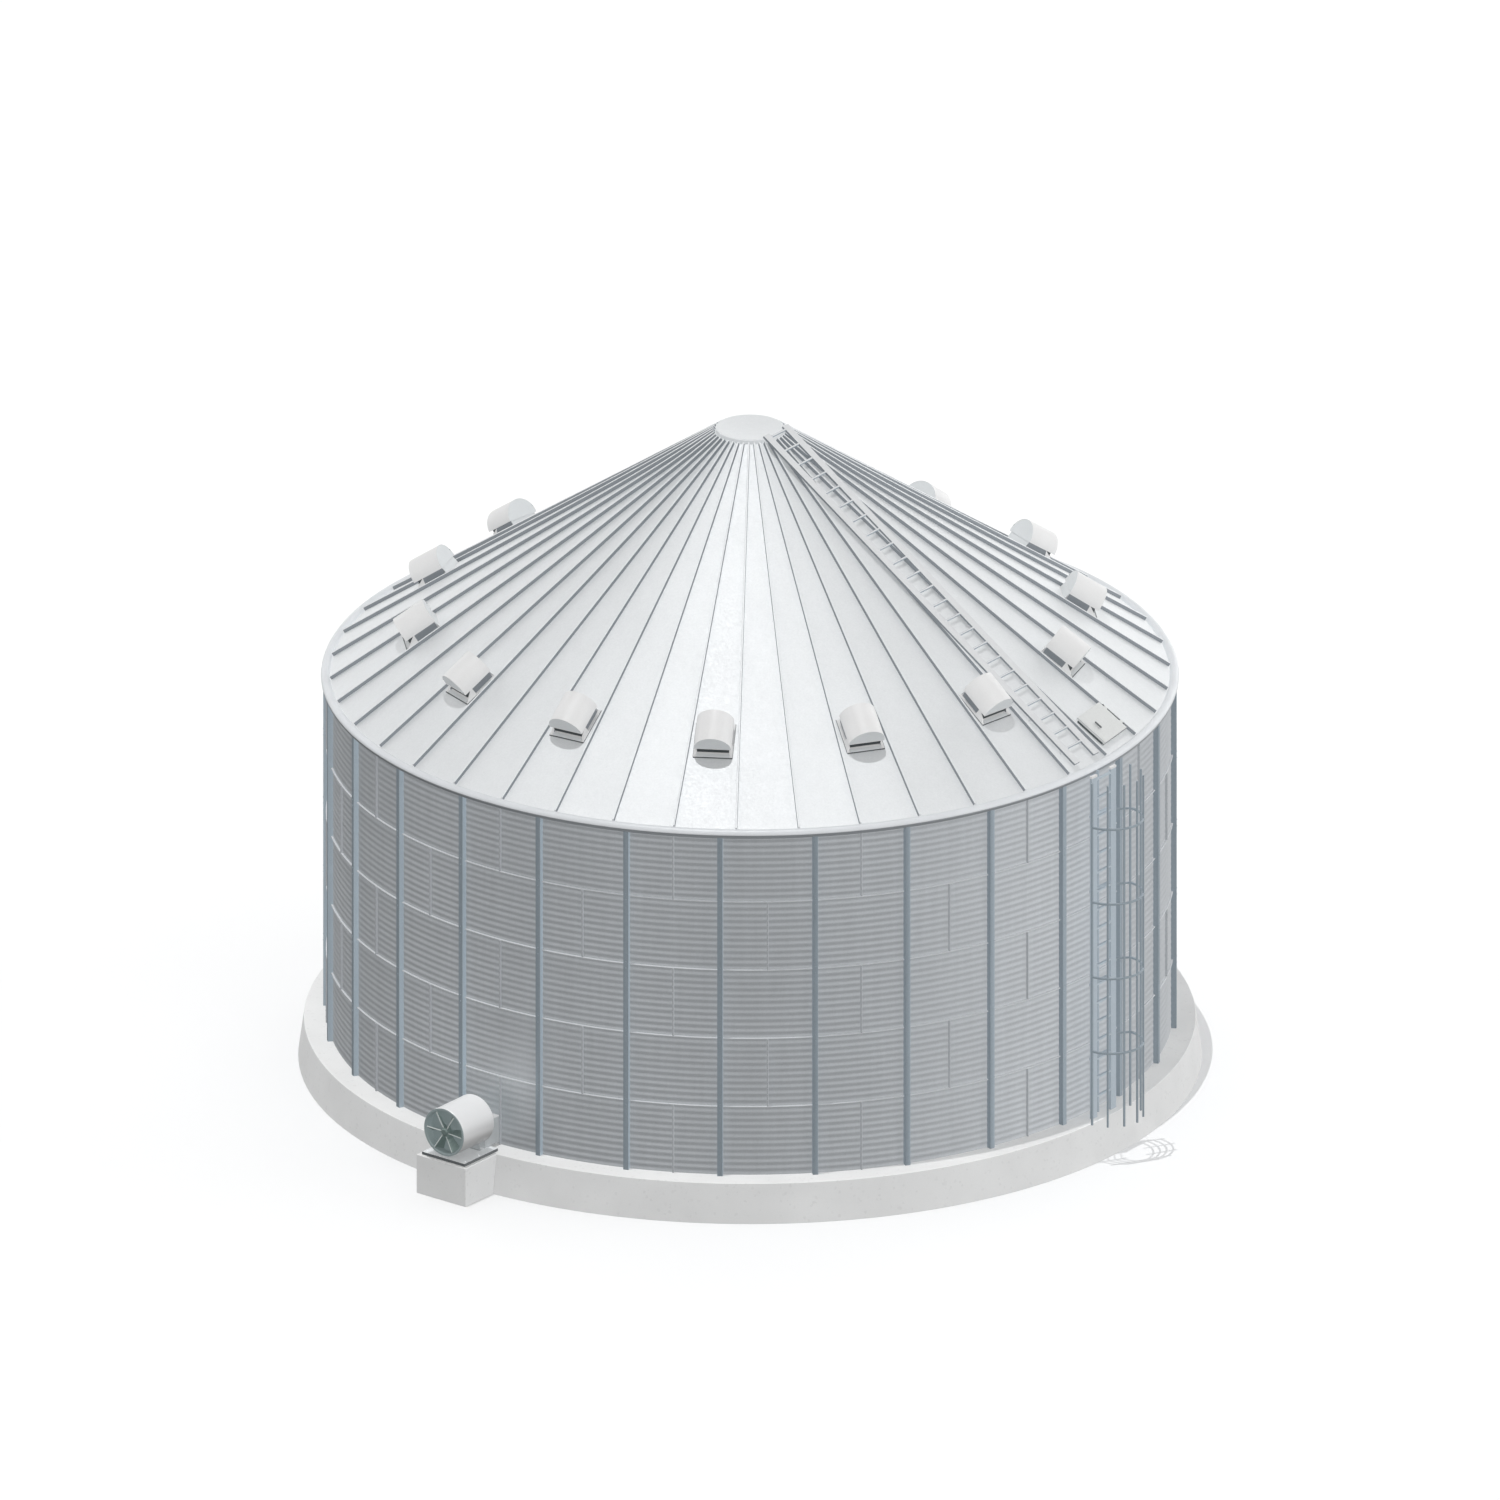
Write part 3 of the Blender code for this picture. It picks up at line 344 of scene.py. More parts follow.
def add_prism(bm, outline, low, high, axis=1):
    """Add a plate with an outline, standing between two places on an axis."""
    rings = []
    for side in (low, high):
        ring = []
        for u, v in outline:
            point = [u, v]
            point.insert(axis, side)
            ring.append(point)
        rings.append(ring)
    add_loft(bm, rings)


def arc(start, stop, steps):
    """Return the angles of an arc's points, with both its ends."""
    return [start + (stop - start) * k / steps for k in range(steps + 1)]


def circle(along, radius, sides):
    """Return a ring of points round the X axis."""
    turns = [2 * pi * k / sides for k in range(sides)]
    return [Vector((along, radius * cos(a), radius * sin(a))) for a in turns]


def add_lathe(bm, profile, sides, matrix, closed=False):
    """Turn a profile of (along, radius) round a frame's X axis."""
    rings = [[matrix @ p for p in circle(along, radius, sides)]
             for along, radius in profile]
    add_loft(bm, rings, closed=closed)


# The least cosine between a face's normal and the direction that it looks in
FACING = 0.6
# Stands a bolt, which points along X, up along a frame's Z
STAND = Matrix(((0, 0, -1, 0), (0, 1, 0, 0), (1, 0, 0, 0), (0, 0, 0, 1)))
# A bolt's washer and head; each kind of bolt below is given as (radius, height)
WASHER_T = 0.002
WASHER_SPREAD = 1.5
WASHER_SIDES = 10
HEAD_SIDES = 6
HEAD_CUT = 0.001
HEAD_CROWN = 0.8


def add_bolt(bm, matrix, size):
    """Add a hexagon head on its washer, standing along the matrix's X."""
    radius, height = size
    spread = radius * WASHER_SPREAD
    add_lathe(bm, ((0.0, spread), (WASHER_T, spread)), WASHER_SIDES, matrix)
    head = ((WASHER_T, radius), (height - HEAD_CUT, radius), (height, radius * HEAD_CROWN))
    add_lathe(bm, head, HEAD_SIDES, matrix)


def recolour(obj, direction, mat):
    """Give an object's faces that look in a direction another material, to paint light or shade
    on them.
    """
    obj.data.materials.append(mat)
    for face in obj.data.polygons:
        if face.normal.dot(direction) > FACING:
            face.material_index = 1


def soften(name, mat, width=0.0025):
    """Give a carried-over solid its material and slightly rounded edges."""
    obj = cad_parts[name]
    obj.visible_glossy = False
    obj.data.materials.clear()
    obj.data.materials.append(mat)
    weld = obj.modifiers.new("weld", "WELD")
    weld.merge_threshold = 1e-5
    bevel = obj.modifiers.new("rounding", "BEVEL")
    bevel.width = width
    bevel.segments = 2
    bevel.limit_method = "ANGLE"
    bevel.angle_limit = radians(45)
    return obj


CORNER_STEPS = 5


def round_profile(corner_r, corner_z, radius):
    """Return the points of a corner rounded from its side to its top."""
    return [(corner_r + radius * cos(a), corner_z + radius * sin(a))
            for a in arc(0.0, pi / 2, CORNER_STEPS)]


def turned(bm, profile, columns):
    """Turn a closed-ended profile of (radius, height) round the bin's axis."""
    rings = [[polar(PHASE + 360.0 * c / columns, r, z) for c in range(columns)]
             for r, z in profile]
    add_loft(bm, rings)


# Wall sheets, their joints and the posts
WAVES = 11
PITCH = RING_H / WAVES
WAVE_HALF = 0.0022
SHEET_T = 0.002
ROWS_PER_WAVE = 8
COLUMNS = 24
SEAM_HALF = 0.011
SEAM_PROUD = 0.034
SEAM_SUNK = 0.012
SEAM_BOLT = (0.006, 0.004)
SEAM_BOLT_CLEAR = 0.02
RING_BAR_HALF = 0.008
RING_BAR_PROUD = 0.028
RING_BAR_SUNK = 0.01
BAR_CUT = 0.003
POSTS = 4
POST_SUNK = 0.014
POST_SHEET = 0.003
POST_FOLD = 0.004
POST_FOLD_CUT = 0.3 * POST_FOLD
POST_BOLT = (0.008, 0.006)
POST_BOLT_OFF = 0.05
EAVE_STEPS = 24
DUCT_HALF = 0.188
DUCT_HOLE = (0.688, 1.088)
# Places along a segment, counted in facets
SHEET_LONG = 6.0
POST_FIRST = 1.5
POST_STEP = 3.0


def wave(z):
    """Return the outer radius of the corrugated sheets at a height."""
    share = (z - SLAB_H) / PITCH
    return WALL_R - WAVE_HALF + WAVE_HALF * cos(2 * pi * share)


def wall_rows():
    """Return the heights of the sheets' rows of vertices."""
    step = PITCH / ROWS_PER_WAVE
    count = RINGS * WAVES * ROWS_PER_WAVE
    rows = [SLAB_H + max(k * step, OFF_SLAB) for k in range(count + 1)]
    return [z for z in rows if z < WALL_STOP] + [WALL_STOP]


def in_duct(angle, z):
    """Tell whether a place on the wall lies in the fan's duct hole."""
    off = WALL_R * sin(radians(angle - FAN_T)) - FAN_SIDE
    return abs(off) < DUCT_HALF and DUCT_HOLE[0] < z < DUCT_HOLE[1]


def wall_angles(start):
    """Return the angles of the sheets' columns, with one on each hole edge."""
    angles = [start + SEGMENT * c / COLUMNS for c in range(COLUMNS + 1)]
    for side in (-DUCT_HALF, DUCT_HALF):
        edge = FAN_T + degrees((FAN_SIDE + side) / WALL_R) + 360.0
        nearest = min(range(COLUMNS + 1), key=lambda c: abs(angles[c] - edge))
        if abs(angles[nearest] - edge) < FACET:
            angles[nearest] = edge
    return angles


def build_sheets(segment, mat):
    """One seventh of the corrugated wall, as thin sheet."""
    angles, rows = wall_angles(PHASE + segment * SEGMENT), wall_rows()
    bm = bmesh.new()
    outer, inner = [[[bm.verts.new(polar(a, wave(z) - depth, z)) for a in angles]
                     for z in rows] for depth in (0.0, SHEET_T)]
    for k in range(len(rows) - 1):
        for c in range(COLUMNS):
            if not in_duct((angles[c] + angles[c + 1]) / 2, (rows[k] + rows[k + 1]) / 2):
                for grid in (outer, inner):
                    bm.faces.new((grid[k][c], grid[k][c + 1],
                                  grid[k + 1][c + 1], grid[k + 1][c]))
    for grid in (outer, inner):
        loose = [v for row in grid for v in row if not v.link_faces]
        for v in loose:
            bm.verts.remove(v)
    pair = {}
    for row_out, row_in in zip(outer, inner):
        for a, b in zip(row_out, row_in):
            pair[a] = b
    for edge in [e for e in bm.edges if e.is_boundary and e.verts[0] in pair]:
        a, b = edge.verts
        bm.faces.new((a, b, pair[b], pair[a]))
    make_piece(f"wall_sheets_{segment + 1}", bm, mat, smooth=60.0,
               replaces=(f"wall_segment_{segment + 1}",))


def build_ring_bars(segment, mat):
    """The bars that lap one ring of sheets over the next, in a lighter steel as a painted
    highlight.
    """
    start = PHASE + segment * SEGMENT
    depth = (RING_BAR_PROUD + RING_BAR_SUNK) / 2
    section = chamfered(depth, RING_BAR_HALF, BAR_CUT)
    bm = bmesh.new()
    for ring in range(1, RINGS):
        z = SLAB_H + ring * RING_H
        add_loft(bm, [[polar(start + SEGMENT * c / COLUMNS,
                             WALL_R + RING_BAR_PROUD - depth + r, z + h)
                       for r, h in section] for c in range(COLUMNS + 1)])
    make_piece(f"ring_bars_{segment + 1}", bm, mat, slender=True)


def build_seam_bars(segment, mat):
    """The bolted upright bars over the sheets' side joints, from ring to ring."""
    start = PHASE + segment * SEGMENT
    bm = bmesh.new()
    for ring in range(RINGS):
        foot = SLAB_H + ring * RING_H
        low = foot + (RING_BAR_HALF if ring else OFF_SLAB)
        high = min(SLAB_H + (ring + 1) * RING_H - RING_BAR_HALF, WALL_STOP)
        first = 0.0 if ring % 2 == 0 else SHEET_LONG / 2
        for seam in (first, first + SHEET_LONG):
            matrix = upright_matrix(start + seam * FACET)
            add_block(bm, (WALL_R - SEAM_SUNK, -SEAM_HALF, low),
                      (WALL_R + SEAM_PROUD, SEAM_HALF, high), BAR_CUT, matrix)
            for k in range(1, WAVES):
                z = foot + k * PITCH
                if z < high - SEAM_BOLT_CLEAR:
                    shift = Matrix.Translation((WALL_R + SEAM_PROUD, 0.0, z))
                    add_bolt(bm, matrix @ shift, SEAM_BOLT)
    make_piece(f"seam_bars_{segment + 1}", bm, mat, slender=True)


def build_posts(segment, mat, painted_light_side_mat):
    """A segment's four outside stiffeners: folded channels, with painted light on the sides
    that face the rising angle.
    """
    start = PHASE + segment * SEGMENT
    half, root = POST_W / 2, WALL_R - POST_SUNK
    outer = [(root, -half), (POST_R - POST_FOLD, -half),
             (POST_R - POST_FOLD_CUT, -half + POST_FOLD_CUT), (POST_R, -half + POST_FOLD)]
    outer += [(x, -y) for x, y in reversed(outer)]
    inner = [(root, -half + POST_SHEET), (POST_R - POST_SHEET, -half + POST_SHEET)]
    inner += [(x, -y) for x, y in reversed(inner)]
    bm = bmesh.new()
    for k in range(POSTS):
        matrix = upright_matrix(start + (POST_FIRST + POST_STEP * k) * FACET)
        add_loft(bm, [[matrix @ Vector((x, y, z)) for x, y in outer + inner[::-1]]
                      for z in (SLAB_H + OFF_SLAB, WALL_STOP)])
        for ring in range(1, RINGS):
            for off in (-POST_BOLT_OFF, POST_BOLT_OFF):
                shift = Matrix.Translation((POST_R, 0.0, SLAB_H + ring * RING_H + off))
                add_bolt(bm, matrix @ shift, POST_BOLT)
    posts = make_piece(f"wall_posts_{segment + 1}", bm, mat,
                       slender=True, more=(painted_light_side_mat,))
    # Painted light: the sides that face the rising angle take the lighter copy of the post
    # steel
    for face in posts.data.polygons:
        angle = degrees(atan2(face.center.x, -face.center.y))
        if face.normal.dot(sideways(angle)) > FACING:
            face.material_index = 1


def build_eave(segment, mat, underside_shade_mat):
    """One seventh of the round white roll on top of the wall, with painted shade on its
    underside.
    """
    start = PHASE + segment * SEGMENT
    turns = [2 * pi * k / EAVE_STEPS for k in range(EAVE_STEPS)]
    bm = bmesh.new()
    add_loft(bm, [[polar(start + SEGMENT * c / COLUMNS, EAVE_R + EAVE_TUBE * cos(a),
                         WALL_TOP + EAVE_TUBE * sin(a))
                   for a in turns] for c in range(COLUMNS + 1)])
    # Painted shade: the faces below the roll's middle take the darker metal
    for face in bm.faces:
        if face.calc_center_median().z < WALL_TOP:
            face.material_index = 1
    make_piece(f"eave_roll_{segment + 1}", bm, mat,
               replaces=(f"eave_ring_{segment + 1}",), slender=True, more=(underside_shade_mat,))


# Roof sheets, ribs and cap
PANELS = 6
ROOF_SHEET_T = 0.003
ROOF_R = EAVE_INNER - OFF_SHEET
HATCH_HOLE = (0.235, 0.295)
RIB_FLARE = 0.002
# Steps in from a rib's half width and down from its top
RIB_CROWN = ((0.0005, 0.01), (0.005, 0.002))
ROOF_SCREW = (0.005, 0.006)
SCREW_PITCH = 0.6
SCREW_FIRST = 0.15
SCREW_STOP_R = 1.2
SCREW_OFF = 0.034
SCREW_SUNK = 0.0025
# Faces whose normals rise less than this are a rib's sides, which take painted shade
UPRIGHT = 0.3
CAP_SEAT = 0.03
CAP_EDGE = 0.012
# Steps in from the cap's rim and down from its top, round its pressed field
CAP_FIELD = ((0.05, 0.0), (0.055, 0.002))


def rib_matrix(angle, radius):
    """Return the frame on a rib's line: X down the slope, Y round, Z off it."""
    origin = polar(angle, radius)
    origin.z = panel_top(origin, angle + FACET)
    out = radial(angle)
    matrix = Matrix((out * cos(SLOPE) - UP * sin(SLOPE), sideways(angle),
                     out * sin(SLOPE) + UP * cos(SLOPE))).transposed().to_4x4()
    matrix.translation = origin
    return matrix


def add_roof_panel(bm, centre):
    """Add the flat sheet between two ribs, with the hatch hole where it is."""
    outline = []
    for angle, radius in ((centre - FACET, ROOF_HOLE_R), (centre - FACET, ROOF_R),
                          (centre + FACET, ROOF_R), (centre + FACET, ROOF_HOLE_R)):
        point = polar(angle, radius)
        point.z = panel_top(point, centre)
        outline.append(point)
    thickness = panel_matrix(centre, HATCH_R).to_3x3() @ Vector((0, 0, ROOF_SHEET_T))
    below = [p - thickness for p in outline]
    if abs(centre - HATCH_T) < FACET / 2:
        s, t = HATCH_HOLE
        hatch = panel_matrix(HATCH_T, HATCH_R)
        hole = [hatch @ Vector((u * s, v * t, 0)) for u, v in
                ((-1, -1), (1, -1), (1, 1), (-1, 1))]
        under_hole = [p - thickness for p in hole]
        add_loft(bm, [outline, hole, under_hole, below], closed=True)
    else:
        add_loft(bm, [outline, below])


def add_rib(bm, angle):
    """Add a standing rib with its rounded crown, and screws beside it."""
    foot = RIB_W / 2 + RIB_FLARE
    side = [(foot, -RIB_FLARE), (foot, 0.0)]
    side += [(RIB_W / 2 - inset, RIB_H - drop) for inset, drop in RIB_CROWN]
    profile = side + [(0.0, RIB_H)] + [(-t, n) for t, n in reversed(side)]
    rings = []
    for radius in (RIB_START_R, RIB_STOP_R):
        matrix = rib_matrix(angle, radius)
        rings.append([matrix @ Vector((0, t, n)) for t, n in profile])
    add_loft(bm, rings)
    for k in range(int((RIB_STOP_R - SCREW_STOP_R) / SCREW_PITCH)):
        matrix = rib_matrix(angle, RIB_STOP_R - SCREW_FIRST - k * SCREW_PITCH)
        for beside in (-SCREW_OFF, SCREW_OFF):
            shift = Matrix.Translation((0, beside, -SCREW_SUNK))
            add_bolt(bm, matrix @ shift @ STAND, ROOF_SCREW)


def build_roof(segment, mat, painted_light_side_mat):
    """One seventh of the roof: six flat sheets and their standing ribs, with painted shade on
    the ribs' sides.
    """
    start = PHASE + segment * SEGMENT
    bm = bmesh.new()
    for k in range(PANELS):
        add_roof_panel(bm, start + (2 * k + 1) * FACET)
        add_rib(bm, start + 2 * k * FACET)
    bm.normal_update()
    # Painted shade: the ribs' upright sides take the dark steel
    for face in bm.faces:
        if abs(face.normal.z) < UPRIGHT:
            face.material_index = 1
    make_piece(f"roof_sheets_{segment + 1}", bm, mat, smooth=32.0,
               replaces=(f"roof_sector_{segment + 1}",), more=(painted_light_side_mat,))


def build_cap(mat):
    """The flat cap over the peak with its turned-down rim."""
    foot = panel_top(polar(PHASE, CAP_R), PHASE + FACET)
    peak = panel_top(polar(PHASE, ROOF_HOLE_R), PHASE + FACET)
    profile = [(ROOF_HOLE_R - CAP_SEAT, peak), (ROOF_HOLE_R, peak), (CAP_R, foot)]
    profile += round_profile(CAP_R - CAP_EDGE, CAP_TOP - CAP_EDGE, CAP_EDGE)
    profile += [(CAP_R - inset, CAP_TOP - drop) for inset, drop in CAP_FIELD]
    bm = bmesh.new()
    turned(bm, profile, FACETS)
    make_piece("peak_cap", bm, mat, replaces=("roof_cap",))


# Roof vents, in a panel's frame: s down the slope, t round, n off the sheet
VENTS = 14
# Facets from one vent to the next
VENT_STEP = 6
HOOD_R = 0.285
HOOD_SKIN = 0.004
HOOD_STEPS = 28
HOOD_N = 0.138
HOOD_BACK = -0.29
HOOD_FRONT = 0.25
HOOD_LIP = 0.006
FLANGE_S = 0.31
FLANGE_T = 0.30
FLANGE_N = 0.008
FLANGE_CUT = 0.0015
THROAT_T = 0.25
THROAT_BACK = -0.27
THROAT_FRONT = 0.10
PLATE = 0.003
CHEEK_S = 0.25
CHEEK_N = 0.033
CHEEK_SKIN = 0.002
SILL_S = 0.30
SILL_N = 0.015
BACK_FOOT = (0.01, 0.014)
SCREEN_BACK = -0.10
SCREEN_S = 0.20
LOUVRES = 4
LOUVRE_S = 0.225
LOUVRE_T = 0.004
LOUVRE_FIRST = 0.01
LOUVRE_PITCH = 0.022
# How far the dark strip of painted shade reaches out from the flange and rises over it
FLANGE_SHADE_OUT = 0.012
FLANGE_SHADE_RISE = 0.006
VENT_BOLT = (0.006, 0.006)
VENT_BOLTS_S = (-0.22, 0.0)
VENT_BOLTS_T = 0.278
# How square a face stands, and how near it lies, to be one of the throat's sides
SQUARE = 0.9
NEAR = 0.01


def add_hood(bm):
    """Add the half-round hood with its lips and closed ends."""
    inner = HOOD_R - HOOD_SKIN
    outline = ((HOOD_BACK + HOOD_LIP, inner), (HOOD_BACK, inner), (HOOD_BACK, HOOD_R),
               (HOOD_FRONT, HOOD_R), (HOOD_FRONT, inner), (HOOD_FRONT - HOOD_LIP, inner))
    add_loft(bm, [[(s, -radius * cos(a), HOOD_N + radius * sin(a))
                   for a in arc(0.0, pi, HOOD_STEPS)] for s, radius in outline])


def add_throat(bm):
    """Add the throat's side plates, cheeks, sill and slanted back."""
    top, low = (THROAT_FRONT, HOOD_N), (CHEEK_S, CHEEK_N)
    side_plate = ((THROAT_BACK, FLANGE_N), (THROAT_BACK, HOOD_N), top, low,
                  (CHEEK_S, FLANGE_N))
    corner = (FLANGE_S - PLATE, FLANGE_N, 1)
    for side in (-1, 1):
        add_prism(bm, side_plate, side * (THROAT_T - PLATE), side * THROAT_T)
        for skin in (((*top, 0), (*low, 0), corner),
                     ((*top, 0), corner, (THROAT_FRONT, FLANGE_N, 1))):
            rings = []
            for inset in (0.0, CHEEK_SKIN):
                rings.append([(s, side * ((FLANGE_T if out else THROAT_T) - inset), n)
                              for s, n, out in skin])
            add_loft(bm, rings)
    sill = ((CHEEK_S, FLANGE_N), (CHEEK_S, SILL_N), (SILL_S, SILL_N),
            (FLANGE_S - OVERLAP, FLANGE_N))
    add_prism(bm, sill, -THROAT_T, THROAT_T)
    back = ((THROAT_BACK, HOOD_N), (THROAT_BACK - PLATE, HOOD_N),
            (BACK_FOOT[0] - FLANGE_S, FLANGE_N), (BACK_FOOT[1] - FLANGE_S, FLANGE_N))
    add_prism(bm, back, -THROAT_T, THROAT_T)


def add_screen(bm):
    """Add the box behind the slot with its louvres, dark as painted shade, and a dark strip of
    painted shade round the flange.
    """
    width = THROAT_T - PLATE
    add_block(bm, (SCREEN_BACK, -width, FLANGE_N), (SCREEN_S, width, HOOD_N))
    for k in range(LOUVRES):
        n = SILL_N + LOUVRE_FIRST + k * LOUVRE_PITCH
        add_block(bm, (SCREEN_S, -width, n), (LOUVRE_S, width, n + LOUVRE_T), FINE_CUT)
    add_block(bm, (FLANGE_S - OVERLAP, -FLANGE_T, OFF_SHEET),
              (FLANGE_S + FLANGE_SHADE_OUT, FLANGE_T, FLANGE_N + FLANGE_SHADE_RISE), FINE_CUT)
    for side in (-1, 1):
        edges = sorted((side * (FLANGE_T - OVERLAP), side * (FLANGE_T + FLANGE_SHADE_OUT / 2)))
        add_block(bm, (-FLANGE_S, edges[0], OFF_SHEET),
                  (FLANGE_S, edges[1], FLANGE_N), FINE_CUT)


def colour_vent(bm):
    """Give the front and sill index 1 and the throat's sides index 2, both painted shade."""
    bm.normal_update()
    for face in bm.faces:
        middle = face.calc_center_median()
        on_sill = middle.x > HOOD_FRONT and FLANGE_N < middle.z < SILL_N + OVERLAP
        if on_sill or (abs(face.normal.x) > FACING and middle.z > FLANGE_N):
            face.material_index = 1
        if abs(face.normal.y) > SQUARE and abs(abs(middle.y) - THROAT_T) < NEAR:
            face.material_index = 2


def build_vent(number, white, grey, throat, dark):
    """A hooded roof vent, with a screen behind its slot that is dark as painted shade, and a
    dark strip of painted shade round its flange.
    """
    matrix = panel_matrix(PHASE + (1 + VENT_STEP * number) * FACET, VENT_R)
    bm = bmesh.new()
    add_block(bm, (-FLANGE_S, -FLANGE_T, OFF_SHEET), (FLANGE_S, FLANGE_T, FLANGE_N), FLANGE_CUT)
    add_hood(bm)
    add_throat(bm)
    for s in VENT_BOLTS_S:
        for t in (-VENT_BOLTS_T, VENT_BOLTS_T):
            add_bolt(bm, Matrix.Translation((s, t, FLANGE_N)) @ STAND, VENT_BOLT)
    # Painted shade: the front and sill take the grey, the throat's sides the dark steel
    colour_vent(bm)
    place(bm, matrix)
    name = f"{number + 1:02d}"
    make_piece(f"vent_hood_{name}", bm, white,
               replaces=(f"roof_vent_{name}",), more=(grey, throat))
    # The screen and the strip round the flange are near black: painted shade
    bm = bmesh.new()
    add_screen(bm)
    place(bm, matrix)
    make_piece(f"vent_screen_{name}", bm, dark)


# Ladders and cage
LADDER_R = 6.637
LADDER_GAUGE = 0.486
RAIL_W = 0.136
RAIL_D = 0.04
CAGE_R = 6.79
CAGE_RADIUS = 0.505
CAGE_BAR = 0.03
CAGE_BARS = 7
HOOP_H = 0.032
HOOPS = (1.836, 3.058, 4.280, 5.502)
HOOP_STEPS = 40
BAR_EDGE = 0.004
ARM_HALF = 0.012
CAGE_BOLT = (0.007, 0.005)
RAIL_CUT = 0.003
RAIL_CAP_OUT = 0.003
RAIL_CAP_LOW = WALL_TOP - 0.02
RAIL_CAP_HIGH = WALL_TOP + 0.018


def build_cage(mat):
    """The safety cage: seven bars, four smooth hoops and arms to the rails."""
    middle = CAGE_RADIUS - CAGE_BAR / 2
    square = chamfered(CAGE_BAR / 2, CAGE_BAR / 2, BAR_EDGE)
    band = chamfered(CAGE_BAR / 2, HOOP_H / 2, BAR_EDGE)
    arm = chamfered(ARM_HALF, HOOP_H / 2, BAR_EDGE)
    bm = bmesh.new()
    for a in arc(-pi / 2, pi / 2, CAGE_BARS - 1):
        turn = Matrix.Rotation(a, 4, "Z")
        add_loft(bm, [[turn @ Vector((middle + x, y, z)) for x, y in square]
                      for z in (SLAB_H, WALL_TOP)])
        for z in HOOPS:
            add_bolt(bm, turn @ Matrix.Translation((CAGE_RADIUS, 0, z)), CAGE_BOLT)
    ends = ((0.0, middle), (LADDER_R - CAGE_R, LADDER_GAUGE / 2 + RAIL_W / 2))
    for z in HOOPS:
        rings = []
        for a in arc(-pi / 2, pi / 2, HOOP_STEPS):
            turn = Matrix.Rotation(a, 4, "Z")
            rings.append([turn @ Vector((middle + r, 0, z + h)) for r, h in band])
        add_loft(bm, rings)
        for side in (-1, 1):
            add_loft(bm, [[(x + dx, side * y, z + dz) for dx, dz in arm] for x, y in ends])
    place(bm, upright_matrix(LADDER_T, CAGE_R))
    make_piece("cage_frame", bm, mat, replaces=("ladder_cage",),
               slender=True)


def build_rail_caps(mat):
    """The pale caps on top of the wall ladder's rails."""
    deep, wide = RAIL_D / 2 + RAIL_CAP_OUT, RAIL_W / 2 + RAIL_CAP_OUT
    bm = bmesh.new()
    for side in (-1, 1):
        y = side * LADDER_GAUGE / 2
        add_block(bm, (-deep, y - wide, RAIL_CAP_LOW), (deep, y + wide, RAIL_CAP_HIGH),
                  RAIL_CUT)
    place(bm, upright_matrix(LADDER_T, LADDER_R))
    make_piece("rail_caps", bm, mat, slender=True)


# Roof ladder, in the panel's frame under it
ROOF_LADDER_LOW_R = 6.28
ROOF_LADDER_HIGH_R = 0.43
ROOF_LADDER_TOP_RUNG_R = 0.4825
ROOF_LADDER_SEAT = RIB_H + 0.0006
RUNG = 0.03
RUNG_CUT = 0.004
RUNG_INSET = 0.002
RUNG_PITCH = 0.305
FEET = (0.3, 1.0, 1.6)
FEET_S = 0.02
FEET_T = 0.04


def build_roof_ladder(mat, painted_light_side_mat, rung_shade_mat):
    """The ladder that lies up the roof on short feet, with painted shade on its rails' sides
    and ends and on its rungs' downhill faces.
    """
    run = cos(PANEL_TILT)
    low, high = ROOF_LADDER_LOW_R / run, ROOF_LADDER_HIGH_R / run
    middle = (low + high) / 2
    base, top = ROOF_LADDER_SEAT, ROOF_LADDER_SEAT + RAIL_D
    bm = bmesh.new()
    for side in (-1, 1):
        t = side * LADDER_GAUGE / 2
        add_block(bm, (high - middle, t - RAIL_W / 2, base),
                  (low - middle, t + RAIL_W / 2, top), RAIL_CUT)
        for up in FEET:
            s = low - middle - up
            add_block(bm, (s - FEET_S, t - FEET_T, OFF_SHEET), (s + FEET_S, t + FEET_T, base))
    # Painted shade: the rails' sides and ends take the dark steel
    bm.normal_update()
    for face in bm.faces:
        if abs(face.normal.z) < FACING and face.calc_center_median().z > base:
            face.material_index = 1
    plain = len(bm.faces)
    along = ROOF_LADDER_TOP_RUNG_R / run
    edge = LADDER_GAUGE / 2 - RAIL_W / 2 + OVERLAP
    while along < low - RUNG_PITCH / 2:
        s = along - middle
        add_block(bm, (s - RUNG / 2, -edge, base + RUNG_INSET),
                  (s + RUNG / 2, edge, top - RUNG_INSET), RUNG_CUT)
        along += RUNG_PITCH
    # Painted shade: the rungs' downhill faces take the darker steel
    bm.normal_update()
    bm.faces.ensure_lookup_table()
    for face in bm.faces[plain:]:
        if abs(face.normal.x) > FACING:
            face.material_index = 2
    place(bm, panel_matrix(LADDER_T, middle * run))
    make_piece("roof_ladder_frame", bm, mat,
               replaces=("roof_ladder",), slender=True, more=(painted_light_side_mat, rung_shade_mat))


# Hatch, in its panel's frame: s down the slope, t round, n off the sheet
CURB_S = 0.26
CURB_T = 0.32
LID_TOP = 0.095
LID_T = 0.35
LID_S = 0.29
FIELD_IN = 0.03
FIELD_CUT = 0.003
FIELD_SUNK = 0.004
LID_SCREW = (0.005, 0.005)
LID_SCREW_S = LID_S - 0.016
LID_SCREWS_T = (-0.3, -0.1, 0.1, 0.3)
# The dark strip of painted shade on the sheet along the curb's downhill side, under the lid
CURB_SHADE_S = (CURB_S + 0.002, CURB_S + 0.016)
CURB_SHADE_N = 0.008
HANDLE_T = -0.154
HANDLE_H = 0.03
GRIP_HALF = 0.067
GRIP_T = 0.011
GRIP_N = (LID_TOP + HANDLE_H - 0.018, LID_TOP + HANDLE_H + 0.003)
GRIP_CUT = 0.004


